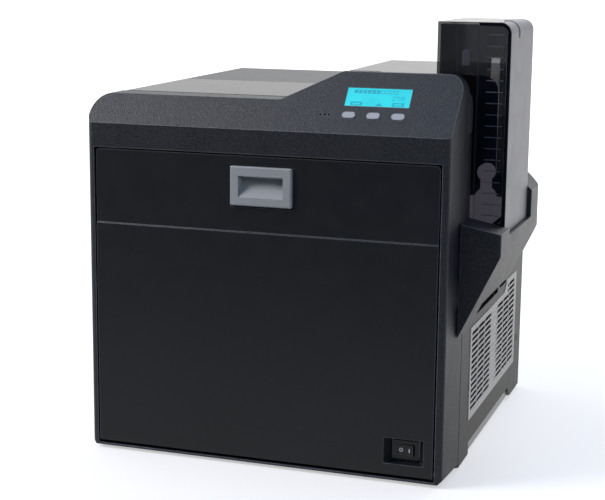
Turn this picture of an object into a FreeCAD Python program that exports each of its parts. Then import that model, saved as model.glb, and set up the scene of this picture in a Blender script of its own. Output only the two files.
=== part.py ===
import FreeCAD, Part
import Sketcher
import math
import os

# ID card printer with a drop-down front door and a side card hopper.
# Lay-out frame while building: X to the right from the middle of the door, Y back from the
# front face, Z up from the desk. Every sub-part is then moved so that the origin is at the
# bottom centre of the whole printer's box.

doc = FreeCAD.newDocument("IdCardPrinter")
sheet = doc.addObject("Spreadsheet::Sheet", "Sizes")

# Driving dimensions in millimetres and degrees
TABLE = {
    # whole case
    "body_half_width": 160.0,
    "front_draw": 3.0,
    "body_depth": 320.0,
    "frame_depth": 46.0,
    "wall": 2.5,
    "frame_wall": 3.0,
    "case_gap": 0.3,
    "overrun": 2.0,
    "edge_reach": 1.0,
    "touch_gap": 0.3,
    "running": 0.05,
    # feet and base tray
    "foot_height": 3.0,
    "foot_radius": 9.0,
    "foot_inset_side": 24.0,
    "foot_inset_front": 60.0,
    "foot_inset_back": 26.0,
    "tray_thick": 2.0,
    "tray_lip": 12.0,
    # front frame
    "sill_height": 1.8,
    "facet_low": 285.9,
    "facet_angle": 50.0,
    "low_top": 309.6,
    "high_top": 332.8,
    "ramp_start": 9.0,
    "ramp_run": 48.0,
    "ramp_room_share": 0.6,
    "left_shoulder": 17.0,
    "right_shoulder": 14.0,
    "left_corner": 6.0,
    "right_corner": 3.0,
    "low_corner": 3.5,
    # door
    "door_side": 7.75,
    "door_low": 6.2,
    "door_height": 257.8,
    "door_gap": 1.5,
    "door_depth": 14.0,
    "door_wall": 2.5,
    "door_corner": 3.5,
    "door_low_round": 3.0,
    "step_low": 200.5,
    "step_rise": 0.9,
    "step_depth": 1.0,
    "liner_thick": 1.4,
    "hinge_back": 5.0,
    "hinge_up": 4.3,
    "hinge_pin_radius": 2.0,
    "hinge_pin_reach": 9.0,
    "hinge_pin_grip": 3.0,
    "hinge_boss_radius": 3.6,
    "hinge_boss_length": 8.0,
    # door handle
    "handle_width": 53.2,
    "handle_height": 32.5,
    "handle_low": 223.2,
    "handle_proud": 3.0,
    "handle_gap": 0.9,
    "handle_corner": 1.0,
    "handle_low_gap": 1.3,
    "scoop_width": 38.7,
    "scoop_height": 17.5,
    "scoop_up": 7.0,
    "scoop_depth": 11.0,
    "scoop_lip": 3.0,
    "handle_pivot_up": 2.8,
    "handle_pivot_back": 5.5,
    "handle_pin_radius": 1.4,
    "handle_pin_length": 3.5,
    "handle_rib": 2.5,
    "handle_arm_half": 3.0,
    "handle_arm_rise": 25.0,
    "handle_arm_thick": 2.0,
    "handle_arm_drop": 5.0,
    # latch
    "latch_back": 19.5,
    "latch_up": 241.0,
    "latch_rod_radius": 2.5,
    "latch_inset": 21.25,
    "latch_lever": 9.0,
    "latch_lever_thick": 3.0,
    "hook_thick": 4.0,
    "hook_reach": 15.0,
    "hook_bar": 5.0,
    "hook_lip": 3.0,
    "hook_inset": 6.0,
    "latch_ear": 3.0,
    "latch_ear_half_height": 6.0,
    "latch_ear_place": 60.0,
    "striker_thick": 2.0,
    "striker_width": 12.0,
    "striker_gap": 0.6,
    "striker_depth": 7.0,
    # power switch and its window in the door
    "switch_in": 35.4,
    "switch_z": 27.6,
    "switch_face": 7.0,
    "bezel_width": 22.4,
    "bezel_height": 16.2,
    "bezel_thick": 2.3,
    "bezel_rim": 3.2,
    "switch_body_width": 19.0,
    "switch_body_height": 12.8,
    "switch_body_depth": 16.0,
    "rocker_gap": 0.4,
    "rocker_sweep": 0.3,
    "rocker_axis": 2.6,
    "rocker_ahead": 3.0,
    "rocker_behind": 3.0,
    "rocker_tilt": 6.0,
    "rocker_bow": 3.0,
    "rocker_room": 7.3,
    "rocker_pin_radius": 1.2,
    "rocker_pin_reach": 1.5,
    "rocker_pin_room": 0.2,
    "window_width": 33.8,
    "window_height": 21.8,
    "window_up": 0.4,
    "window_side_gap": 0.7,
    "window_top_gap": 0.7,
    "window_low_gap": 1.1,
    "window_wall": 1.5,
    "window_deep": 8.6,
    "switch_room": 20.0,
    "switch_room_front": 9.0,
    "bracket_thick": 1.5,
    "bracket_margin": 5.0,
    "bracket_leg": 29.0,
    # display, buttons and sounder holes on the sloped panel
    "display_in": 68.8,
    "display_width": 53.5,
    "display_up": 27.4,
    "display_height": 17.9,
    "glass_thick": 1.6,
    "glass_ledge": 1.5,
    "glass_sink": 0.4,
    "module_margin": 4.0,
    "module_thick": 4.0,
    "button_in": 69.4,
    "button_pitch": 20.4,
    "button_up": 18.0,
    "button_length": 11.0,
    "button_width": 6.0,
    "button_gap": 0.35,
    "button_rise": 1.0,
    "button_travel": 1.0,
    "button_flange": 1.2,
    "button_flange_thick": 1.0,
    "button_edge": 0.5,
    "sounder_in": 110.1,
    "sounder_pitch": 3.6,
    "sounder_radius": 1.1,
    "board_thick": 1.6,
    "board_margin": 9.0,
    "board_post": 2.0,
    # top covers
    "side_top": 286.0,
    "left_cover_front": 309.9,
    "left_cover_back": 312.3,
    "cover_chamfer": 19.0,
    "cover_split": 176.0,
    "cover_groove": 0.8,
    "raised_left": 20.0,
    "raised_step": 50.0,
    "raised_front": 322.5,
    "raised_back": 325.1,
    "raised_shoulder": 14.0,
    # side panels and rear panel
    "hand_cut_front": 86.0,
    "hand_cut_end": 58.0,
    "hand_cut_height": 11.0,
    "hand_cut_slope": 12.0,
    "exit_front": 66.0,
    "exit_back": 161.0,
    "exit_low": 189.0,
    "exit_high": 205.0,
    "exit_rim": 4.0,
    "exit_rim_thick": 1.2,
    "catch_hole_inset": 20.0,
    "catch_hole_low": 52.0,
    "catch_hole_high": 59.0,
    "catch_hole_half": 1.6,
    # louvred grille
    "side_joint_width": 1.6,
    "side_joint_depth": 1.2,
    "grille_front": 81.0,
    "grille_inset": 34.0,
    "grille_low": 34.5,
    "grille_mid": 116.3,
    "grille_high": 126.6,
    "grille_step_share": 0.717,
    "grille_step_run": 12.0,
    "grille_proud": 0.6,
    "grille_thick": 0.9,
    "grille_rim": 3.0,
    "louvre_first": 41.6,
    "louvre_pitch": 5.11,
    "louvre_height": 3.3,
    "louvre_share": 0.1244,
    "louvre_pitch_share": 0.1317,
    "louvre_left_share": 0.0268,
    "louvre_right_share": 0.5659,
    "band_rib_depth": 0.5,
    # slits above the grille: one under the cradle, one behind it
    "slit_front": 80.0,
    "slit_back": 196.5,
    "slit_low": 123.4,
    "slit_high": 128.2,
    "skirt_low": 141.5,
    "skirt_reach": 12.0,
    "rear_slit_front": 204.2,
    "rear_slit_back": 233.5,
    "rear_slit_low": 125.2,
    # side cradle
    "cradle_front": 29.5,
    "cradle_back": 203.0,
    "cradle_out": 33.3,
    "cradle_point": 119.8,
    "cradle_low_out": 189.4,
    "cradle_top_out": 207.5,
    "cradle_top_in": 214.3,
    "cradle_wall": 2.6,
    "cradle_rim": 201.3,
    "cradle_hook_top": 236.0,
    "cradle_hook_bevel": 11.0,
    "cradle_hook_round": 7.0,
    "cradle_floor": 190.0,
    "cradle_round": 2.0,
    # hopper
    "hopper_in": 31.4,
    "hopper_out": 29.2,
    "hopper_front": 64.0,
    "hopper_back": 163.0,
    "hopper_low": 198.0,
    "hopper_top": 373.7,
    "hopper_wall": 2.0,
    "hopper_round": 9.0,
    "hopper_groove": 0.5,
    "hopper_groove_width": 1.0,
    "joint_in": 16.0,
    "joint_out": 2.3,
    "mark_height": 0.5,
    "mark_pitch": 9.18,
    "mark_first": 216.7,
    "mark_out": 9.8,
    "mark_length": 14.0,
    "mark_depth": 0.3,
    "cover_low": 200.2,
    "cover_skin": 2.4,
    "bend_out_share": 0.45,
    "bend_up_share": 1.25,
    "bend_corner_share": 0.34,
    "cover_wrap": 10.0,
    "tab_front": 98.0,
    "tab_width": 24.0,
    "tab_drop": 13.0,
    "tab_thick": 0.6,
    "knuckle_radius": 2.8,
    "knuckle_up": 207.5,
    "knuckle_in": 5.5,
    "knuckle_length": 16.0,
    "hopper_pin_radius": 1.2,
    "knob_in": 7.4,
    "knob_low": 339.0,
    "knob_height": 9.5,
    "knob_width": 6.0,
    "knob_proud": 1.0,
    # well that the hopper drops into
    "well_gap": 0.6,
    "well_wall": 2.0,
    "well_floor": 196.0,
    # card weight
    "weight_gap": 1.2,
    "weight_low": 206.2,
    "weight_thick": 12.0,
    "weight_right_room": 13.0,
    "weight_lug_out": 11.0,
    "weight_lug_radius": 8.3,
    "weight_lug_depth": 8.0,
    "weight_lug_rise": 12.8,
    "weight_knob_radius": 7.0,
    "weight_knob_rise": 33.8,
    "weight_waist": 4.0,
    "weight_travel": 110.0,
    "rail_half": 3.0,
    "rail_slot": 4.0,
    # mechanism
    "bulkhead_front": 205.0,
    "bulkhead_thick": 2.0,
    "bulkhead_inset": 3.5,
    "bulkhead_top": 262.0,
    "bulkhead_foot": 7.0,
    "carrier_front": 63.0,
    "carrier_thick": 2.5,
    "carrier_left": -150.0,
    "carrier_right": 112.0,
    "carrier_top": 236.0,
    "tie_radius": 3.0,
    "tie_inset": 6.0,
    "card_thick": 0.8,
    "web_front": 70.0,
    "web_back": 156.0,
    "roll_front": 68.0,
    "roll_back": 157.0,
    "spindle_radius": 4.0,
    "flange_more": 3.0,
    "flange_thick": 1.5,
    "supply_x": -100.0,
    "takeup_x": 20.0,
    "film_z": 137.5,
    "film_supply_radius": 25.0,
    "film_takeup_radius": 17.0,
    "ribbon_z": 55.0,
    "ribbon_supply_radius": 22.0,
    "ribbon_takeup_radius": 15.0,
    "plate_thick": 2.5,
    "plate_back": 159.5,
    "plate_overlap": 3.0,
    "cassette_left": -134.0,
    "cassette_right": 48.0,
    "film_plate_low": 104.0,
    "film_plate_high": 171.0,
    "ribbon_plate_low": 24.0,
    "ribbon_plate_high": 86.0,
    "cassette_bar": 6.0,
    "grip_width": 44.0,
    "grip_depth": 12.0,
    "grip_height": 14.0,
    "station_x": -40.0,
    "heat_radius": 18.0,
    "heat_shaft": 5.0,
    "platen_radius": 12.0,
    "platen_shaft": 4.0,
    "print_z": 95.0,
    "head_width": 26.0,
    "head_gap": 0.8,
    "head_height": 9.0,
    "sink_height": 16.0,
    "sink_slot": 2.0,
    "sink_pitch": 4.0,
    "head_arm_half": 6.0,
    "arm_notch": 1.0,
    "feed_x": 20.0,
    "feed_radius": 8.0,
    "feed_shaft": 3.0,
    "pick_in": 14.0,
    "pick_y": 113.0,
    "pick_radius": 9.0,
    "pick_half_length": 14.0,
    "pick_ear": 4.0,
    "pick_ear_drop": 5.0,
    "guide_thick": 1.2,
    "guide_gap": 2.4,
    "guide_clear": 4.0,
    "turner_x": 78.0,
    "turner_radius": 30.0,
    "turner_front": 71.0,
    "turner_back": 155.0,
    "turner_plate": 2.0,
    "turner_slot": 2.5,
    "turner_reach": 25.0,
    # drive behind the bulkhead
    "layer_gap": 2.0,
    "belt_width": 6.0,
    "belt_thick": 1.4,
    "pulley_radius": 8.0,
    "transport_x": 100.0,
    "transport_z": 150.0,
    "gear_module": 1.0,
    "gear_thick": 6.0,
    "tooth_backlash": 0.5,
    "tooth_root_clear": 0.35,
    "tooth_angle": 17.0,
    "motor_size": 42.0,
    "motor_corner": 5.0,
    "motor_length": 34.0,
    "motor_bore": 6.0,
    "motor_shaft": 2.5,
    "motor_hole": 4.0,
    "motor_plate_left": -50.0,
    "motor_plate_right": 128.0,
    "motor_plate_low": 26.0,
    "motor_plate_mid": 108.0,
    "motor_plate_step": 28.0,
    "motor_plate_high": 180.0,
    "standoff_low_x": -42.0,
    "standoff_low_z": 32.0,
    "standoff_mid_x": 16.0,
    "standoff_mid_z": 96.0,
    "standoff_high_z": 116.0,
    "standoff_right_x": 122.0,
    "post_radius": 3.5,
    # fan, boards and supply
    "fan_x": -75.0,
    "fan_z": 180.0,
    "fan_size": 80.0,
    "fan_depth": 25.0,
    "fan_corner": 4.0,
    "fan_wall": 1.6,
    "fan_hub": 18.0,
    "fan_mount": 2.0,
    "fan_tip_gap": 1.4,
    "fan_root": 2.0,
    "fan_blade_thick": 1.6,
    "fan_sweep": 9.0,
    "fan_strut": 3.0,
    "fan_pin": 1.5,
    "vent_slot": 3.0,
    "vent_pitch": 6.4,
    "main_board_left": -140.0,
    "main_board_right": -14.0,
    "main_board_gap": 9.0,
    "main_board_inset": 14.0,
    "standoff": 9.0,
    "standoff_radius": 3.0,
    "chip_height": 3.0,
    "chip_size": 24.0,
    "chip_margin": 9.6,
    "chip_pitch": 33.6,
    "chip_back": 19.2,
    "connector_width": 19.2,
    "connector_pitch": 26.4,
    "connector_height": 8.0,
    "connector_depth": 7.0,
    "power_left": 48.0,
    "power_right": 150.0,
    "power_gap": 7.0,
    "power_inset": 20.0,
    "power_height": 62.0,
    "power_skin": 1.2,
    "power_slot": 3.0,
    "power_pitch": 8.0,
    "inlet_in": 50.0,
    "inlet_z": 88.0,
    "inlet_width": 27.0,
    "inlet_height": 20.0,
    "inlet_depth": 15.0,
    "inlet_rim": 2.0,
    "inlet_flange": 10.0,
    "flange_plate": 1.6,
    "socket_pin": 1.0,
    "socket_pin_reach": 9.0,
    "port_x": -88.0,
    "port_width": 12.0,
    "port_height": 11.0,
    "port_pitch": 26.0,
    "port_depth": 16.0,
    "port_rim": 1.2,
    "screw_head": 2.8,
    "screw_head_height": 1.6,
    "screw_inset": 9.0,
}

for row, (alias, number) in enumerate(TABLE.items(), start=1):
    sheet.set(f"A{row}", alias)
    sheet.set(f"B{row}", str(number))
    sheet.setAlias(f"B{row}", alias)
doc.recompute()


class Length:
    """A size as the sheet's expression, with the value that it has now."""

    def __init__(self, text, number):
        self.text = text
        self.number = number

    @staticmethod
    def of(other):
        return other if isinstance(other, Length) else Length(f"({other})", float(other))

    def __add__(self, other):
        other = Length.of(other)
        return Length(f"({self.text} + {other.text})", self.number + other.number)

    def __radd__(self, other):
        return Length.of(other) + self

    def __sub__(self, other):
        other = Length.of(other)
        return Length(f"({self.text} - {other.text})", self.number - other.number)

    def __rsub__(self, other):
        return Length.of(other) - self

    def __mul__(self, other):
        other = Length.of(other)
        return Length(f"({self.text} * {other.text})", self.number * other.number)

    def __rmul__(self, other):
        return Length.of(other) * self

    def __truediv__(self, other):
        other = Length.of(other)
        return Length(f"({self.text} / {other.text})", self.number / other.number)

    def __rtruediv__(self, other):
        return Length.of(other) / self

    def __neg__(self):
        return Length(f"(0 - {self.text})", -self.number)


def sine(angle):
    return Length(f"sin({angle.text})", math.sin(math.radians(angle.number)))


def cosine(angle):
    return Length(f"cos({angle.text})", math.cos(math.radians(angle.number)))


def root(value):
    return Length(f"sqrt({value.text})", math.sqrt(value.number))


class SizeBook:
    """The sheet's sizes by name."""


size = SizeBook()
for alias in TABLE:
    setattr(size, alias, Length("Sizes." + alias, float(sheet.get(alias))))
zero = Length("0", 0.0)
half_turn = Length("pi", math.pi)

# Counts
WHEEL_TEETH = 45
PINION_TEETH = 15
TURNER_TEETH = 60
FAN_BLADES = 7
LOUVRE_ROWS = 14

subparts = {}


def bind(thing, prop, value):
    """Ties one property of an object to the sheet."""
    value = Length.of(value)
    thing.setExpression(prop, value.text)


# Places across that follow from the case's half width
half = size.body_half_width
front_half = half - size.front_draw
door_half = front_half - size.door_side
latch_half = door_half - size.latch_inset
bulkhead_half = half - size.wall - size.bulkhead_inset
cradle_right = half + size.cradle_out
hopper_left = half - size.hopper_in
hopper_right = half + size.hopper_out
joint_left = half - size.joint_in
joint_right = half + size.joint_out
mark_left = half + size.mark_out
knob_x = half - size.knob_in
weight_lug_x = half + size.weight_lug_out
pick_x = half - size.pick_in
switch_x = half - size.switch_in
display_x = half - size.display_in
button_x = half - size.button_in
sounder_x = half - size.sounder_in
inlet_x = half - size.inlet_in

# Printer's box, from which the common origin follows
box_left = -half
box_right = cradle_right
box_front = size.step_depth - size.handle_proud
box_back = size.body_depth + size.screw_head_height
origin_x = (box_left + box_right) / 2
origin_y = (box_front + box_back) / 2


def keep(label, thing, x=None, z=None):
    """Names a finished sub-part and moves it to the common origin.

    A piece that was drawn round its own axis is also moved to x and z.
    """
    thing.Label = label
    bind(thing, "Placement.Base.x", (zero if x is None else x) - origin_x)
    bind(thing, "Placement.Base.y", -origin_y)
    if z is not None:
        bind(thing, "Placement.Base.z", z)
    subparts[label] = thing
    return thing


# Solids from primitives

def block(x, y, z):
    """Box from the low and high place along each axis."""
    thing = doc.addObject("Part::Box", "Block")
    for prop, place, (low, high) in zip(("Length", "Width", "Height"), "xyz", (x, y, z)):
        bind(thing, prop, Length.of(high) - low)
        bind(thing, f"Placement.Base.{place}", low)
    return thing


TURNS = {
    "x": FreeCAD.Rotation(FreeCAD.Vector(0, 1, 0), 90),
    "y": FreeCAD.Rotation(FreeCAD.Vector(1, 0, 0), -90),
    "z": FreeCAD.Rotation(),
}


def rod(axis, centre, span, radius):
    """Cylinder along an axis: centre gives the other two places in x, y, z order."""
    thing = doc.addObject("Part::Cylinder", "Rod")
    thing.Placement = FreeCAD.Placement(FreeCAD.Vector(), TURNS[axis])
    bind(thing, "Radius", radius)
    bind(thing, "Height", Length.of(span[1]) - span[0])
    places = list(centre)
    places.insert("xyz".index(axis), span[0])
    for place, value in zip("xyz", places):
        bind(thing, f"Placement.Base.{place}", value)
    return thing


def join(*things):
    if len(things) == 1:
        return things[0]
    thing = doc.addObject("Part::MultiFuse", "Join")
    thing.Shapes = list(things)
    thing.Refine = True
    return thing


def carve(base, *tools):
    thing = doc.addObject("Part::Cut", "Carve")
    thing.Base = base
    thing.Tool = join(*tools)
    thing.Refine = True
    return thing


def group(*things):
    thing = doc.addObject("Part::Compound", "Group")
    thing.Links = list(things)
    return thing


# Solids from sketches

PLANES = {"XY": ("XY_Plane", 1), "XZ": ("XZ_Plane", -1), "YZ": ("YZ_Plane", 1)}


def new_body():
    return doc.addObject("PartDesign::Body", "Piece")


def fix_point(sketch, line, end, u, v):
    for kind, value in (("DistanceX", u), ("DistanceY", v)):
        value = Length.of(value)
        index = sketch.addConstraint(Sketcher.Constraint(kind, -1, 1, line, end, value.number))
        sketch.setExpression(f"Constraints[{index}]", value.text)


def draw_loops(sketch, loops):
    """Closed outlines of straight lines; a loop of one (u, v, r) entry is a circle."""
    for loop in loops:
        first = sketch.GeometryCount
        if len(loop) == 1:
            u, v, radius = (Length.of(value) for value in loop[0])
            centre = FreeCAD.Vector(u.number, v.number, 0)
            normal = FreeCAD.Vector(0, 0, 1)
            sketch.addGeometry(Part.Circle(centre, normal, radius.number), False)
            fix_point(sketch, first, 3, u, v)
            index = sketch.addConstraint(Sketcher.Constraint("Radius", first, radius.number))
            sketch.setExpression(f"Constraints[{index}]", radius.text)
            continue
        corners = [(Length.of(u), Length.of(v)) for u, v in loop]
        points = [FreeCAD.Vector(u.number, v.number, 0) for u, v in corners]
        for here, there in zip(points, points[1:] + points[:1]):
            sketch.addGeometry(Part.LineSegment(here, there), False)
        for step in range(len(loop)):
            after = first + (step + 1) % len(loop)
            sketch.addConstraint(Sketcher.Constraint("Coincident", first + step, 2, after, 1))
        for step, (u, v) in enumerate(corners):
            fix_point(sketch, first + step, 1, u, v)


def sketch_on(body, plane, place, loops):
    role, sign = PLANES[plane]
    sketch = body.newObject("Sketcher::SketchObject", "Outline")
    origin = [item for item in body.Origin.OriginFeatures if item.Role == role][0]
    sketch.AttachmentSupport = [(origin, "")]
    sketch.MapMode = "FlatFace"
    bind(sketch, "AttachmentOffset.Base.z", sign * Length.of(place))
    draw_loops(sketch, loops)
    return sketch


def facet_sketch(body, lift, loops):
    """Outline on the sloped panel: u to the right, v up the slope, lift outwards."""
    sketch = body.newObject("Sketcher::SketchObject", "Slope")
    origin = [item for item in body.Origin.OriginFeatures if item.Role == "XZ_Plane"][0]
    sketch.AttachmentSupport = [(origin, "")]
    sketch.MapMode = "FlatFace"
    turn = FreeCAD.Rotation(FreeCAD.Vector(1, 0, 0), size.facet_angle.number - 90)
    sketch.AttachmentOffset = FreeCAD.Placement(FreeCAD.Vector(), turn)
    lift = Length.of(lift)
    bind(sketch, "AttachmentOffset.Base.y", size.facet_low + lift * cosine(size.facet_angle))
    bind(sketch, "AttachmentOffset.Base.z", lift * sine(size.facet_angle))
    draw_loops(sketch, loops)
    return sketch


def rectangle(u, v):
    return [(u[0], v[0]), (u[1], v[0]), (u[1], v[1]), (u[0], v[1])]


def add_feature(body, kind, sketch, length, reverse=False):
    feature = body.newObject(kind, "Step")
    feature.Profile = sketch
    feature.Reversed = reverse
    bind(feature, "Length", length)
    return feature


def solid_volume(body):
    doc.recompute()
    return body.Shape.Volume


def cut_feature(body, sketch, length):
    before = solid_volume(body)
    feature = add_feature(body, "PartDesign::Pocket", sketch, length, True)
    after = solid_volume(body)
    if not 0 < after < before:
        raise RuntimeError(f"{body.Name}: a cut took away nothing or everything")
    return feature


def start_of(plane, span):
    return span[1] if plane == "XZ" else span[0]


def pad(body, plane, span, loops):
    span = [Length.of(value) for value in span]
    sketch = sketch_on(body, plane, start_of(plane, span), loops)
    return add_feature(body, "PartDesign::Pad", sketch, span[1] - span[0])


def pocket(body, plane, span, loops):
    span = [Length.of(value) for value in span]
    sketch = sketch_on(body, plane, start_of(plane, span), loops)
    return cut_feature(body, sketch, span[1] - span[0])


def loft(body, plane, first, last, subtract=False):
    """Straight-sided loft between two outlines, each given as (place, loop)."""
    sketches = [sketch_on(body, plane, place, [loop]) for place, loop in (first, last)]
    kind = "PartDesign::SubtractiveLoft" if subtract else "PartDesign::AdditiveLoft"
    before = solid_volume(body) if subtract else 0.0
    feature = body.newObject(kind, "Taper")
    feature.Profile = sketches[0]
    feature.Sections = [sketches[1]]
    feature.Ruled = True
    if subtract and solid_volume(body) >= before:
        raise RuntimeError(f"{body.Name}: a tapered cut took nothing away")
    return feature


def ring_of(body, feature, axis_role, count):
    """Polar pattern of one feature about an origin axis."""
    pattern = body.newObject("PartDesign::PolarPattern", "Ring")
    pattern.Originals = [feature]
    axis = [item for item in body.Origin.OriginFeatures if item.Role == axis_role][0]
    pattern.Axis = (axis, [""])
    pattern.Occurrences = count
    body.Tip = pattern
    doc.recompute()
    return pattern


AXIS_NUMBER = {"x": 0, "y": 1, "z": 2}


def edges_near(shape, points, reach=size.edge_reach):
    """Names of the edges whose middle lies within reach of one of the points."""
    names = []
    for number, edge in enumerate(shape.Edges, start=1):
        middle = edge.valueAt((edge.FirstParameter + edge.LastParameter) / 2)
        for point in points:
            target = FreeCAD.Vector(*(Length.of(value).number for value in point))
            if (middle - target).Length < reach.number:
                names.append(f"Edge{number}")
    return names


def edges_along(shape, axis, lines, reach=0.05):
    """Names of the edges along an axis that lie on one of the lines (the other two places)."""
    names = []
    along = AXIS_NUMBER[axis]
    others = [number for number in range(3) if number != along]
    for number, edge in enumerate(shape.Edges, start=1):
        ends = [vertex.Point for vertex in edge.Vertexes]
        if len(ends) < 2:
            continue
        for line in lines:
            goal = [Length.of(value).number for value in line]
            if all(
                abs(end[other] - value) < reach for end in ends for other, value in zip(others, goal)
            ):
                names.append(f"Edge{number}")
    return names


def round_edges(body, names, radius, kind="PartDesign::Fillet"):
    if not names:
        raise RuntimeError(f"{body.Name}: no edge to round")
    tip = body.Tip
    feature = body.newObject(kind, "Round")
    feature.Base = (tip, names)
    bind(feature, "Radius" if kind.endswith("Fillet") else "Size", radius)
    doc.recompute()
    return feature


def repeat(body, feature, axis_role, spacing, count):
    """Linear pattern of one cut along an origin axis."""
    pattern = body.newObject("PartDesign::LinearPattern", "Row")
    pattern.Originals = [feature]
    axis = [item for item in body.Origin.OriginFeatures if item.Role == axis_role][0]
    pattern.Direction = (axis, [""])
    pattern.Mode = "Spacing"
    pattern.Occurrences = count
    bind(pattern, "Offset", spacing)
    body.Tip = pattern
    doc.recompute()
    return pattern


# Places that several sub-parts share
base_z = size.foot_height
tray_top = base_z + size.tray_thick
door_top = size.door_low + size.door_height
opening_half = door_half + size.door_gap
opening_top = door_top + size.door_gap
sill_top = base_z + size.sill_height
inner_half = half - size.wall
tray_front = size.frame_depth + size.case_gap
back_inner = size.body_depth - size.wall
hand_cut_back = size.body_depth - size.hand_cut_end
catch_hole_y = size.body_depth - size.catch_hole_inset
grille_back = size.body_depth - size.grille_inset
grille_long = grille_back - size.grille_front
hinge_y = size.hinge_back
hinge_z = size.door_low + size.hinge_up
upper_face = size.step_depth
ramp_end = size.ramp_start + size.ramp_run
slope_cos = cosine(size.facet_angle)
slope_sin = sine(size.facet_angle)
slope_top = (size.high_top - size.facet_low) / slope_sin
bulkhead_back = size.bulkhead_front + size.bulkhead_thick
carrier_back = size.carrier_front + size.carrier_thick
belt_front = bulkhead_back + size.layer_gap
belt_span = (belt_front, belt_front + size.belt_width)
gear_front = belt_span[1] + size.layer_gap
gear_span = (gear_front, gear_front + size.gear_thick)
motor_plate_front = gear_span[1] + size.layer_gap
motor_face = motor_plate_front + size.plate_thick
nip = size.card_thick / 2
card_plane = size.well_floor + size.well_wall + nip
heat_z = card_plane - nip - size.heat_radius
transfer_z = card_plane + nip + size.platen_radius
feed_low_z = card_plane - nip - size.feed_radius
feed_high_z = card_plane + nip + size.feed_radius
pick_z = card_plane - nip + size.touch_gap - size.pick_radius
gear_distance = (WHEEL_TEETH + PINION_TEETH) * size.gear_module / 2
drive_x = size.takeup_x - gear_distance
turner_drive_z = card_plane + (TURNER_TEETH + PINION_TEETH) * size.gear_module / 2
heat_pulley = size.pulley_radius * size.heat_radius / size.feed_radius
pick_pulley = size.pulley_radius * size.pick_radius / size.feed_radius
turner_gear_span = (size.turner_back - size.gear_thick, size.turner_back)
board_low = tray_top + size.standoff
well_left = hopper_left - size.well_gap - size.well_wall
well_front = size.hopper_front - size.well_gap - size.well_wall
well_back = size.hopper_back + size.well_gap + size.well_wall


def switch_bracket():
    """Bent-up bracket of the tray that the power switch clips into."""
    x = switch_x
    z = size.switch_z
    front = size.switch_face + size.bezel_thick
    thick = size.bracket_thick
    wide = size.bezel_width / 2 + size.bracket_margin
    low = z - size.bezel_height / 2
    high = z + size.bezel_height / 2 + size.bracket_margin
    span = (x - wide, x + wide)
    plate = block(span, (front, front + thick), (low, high))
    arm = block(span, (front, size.bracket_leg), (high - thick, high))
    leg = block(span, (size.bracket_leg - thick, size.bracket_leg), (sill_top, high))
    strap = block(span, (size.bracket_leg - thick, tray_front + size.tray_thick), (sill_top, sill_top + thick))
    hole_wide = size.switch_body_width / 2
    hole_tall = size.switch_body_height / 2
    hole = block((x - hole_wide, x + hole_wide), (front - size.overrun, front + thick + size.overrun),
                 (z - hole_tall, z + hole_tall))
    return carve(join(plate, arm, leg, strap), hole)


def base_tray():
    body = new_body()
    low = base_z
    pad(body, "XY", (low, low + size.tray_lip), [
        rectangle((-inner_half, inner_half), (tray_front, back_inner)),
    ])
    pocket(body, "XY", (tray_top, low + size.tray_lip + size.overrun), [
        rectangle(
            (-inner_half + size.tray_thick, inner_half - size.tray_thick),
            (tray_front + size.tray_thick, back_inner - size.tray_thick),
        ),
    ])
    return keep("base_tray", join(body, switch_bracket()))


def rubber_feet():
    side = half - size.foot_inset_side
    rows = (size.foot_inset_front, size.body_depth - size.foot_inset_back)
    feet = [rod("z", (x, y), (zero, base_z), size.foot_radius) for x in (-side, side) for y in rows]
    return keep("rubber_feet", group(*feet))


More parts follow.
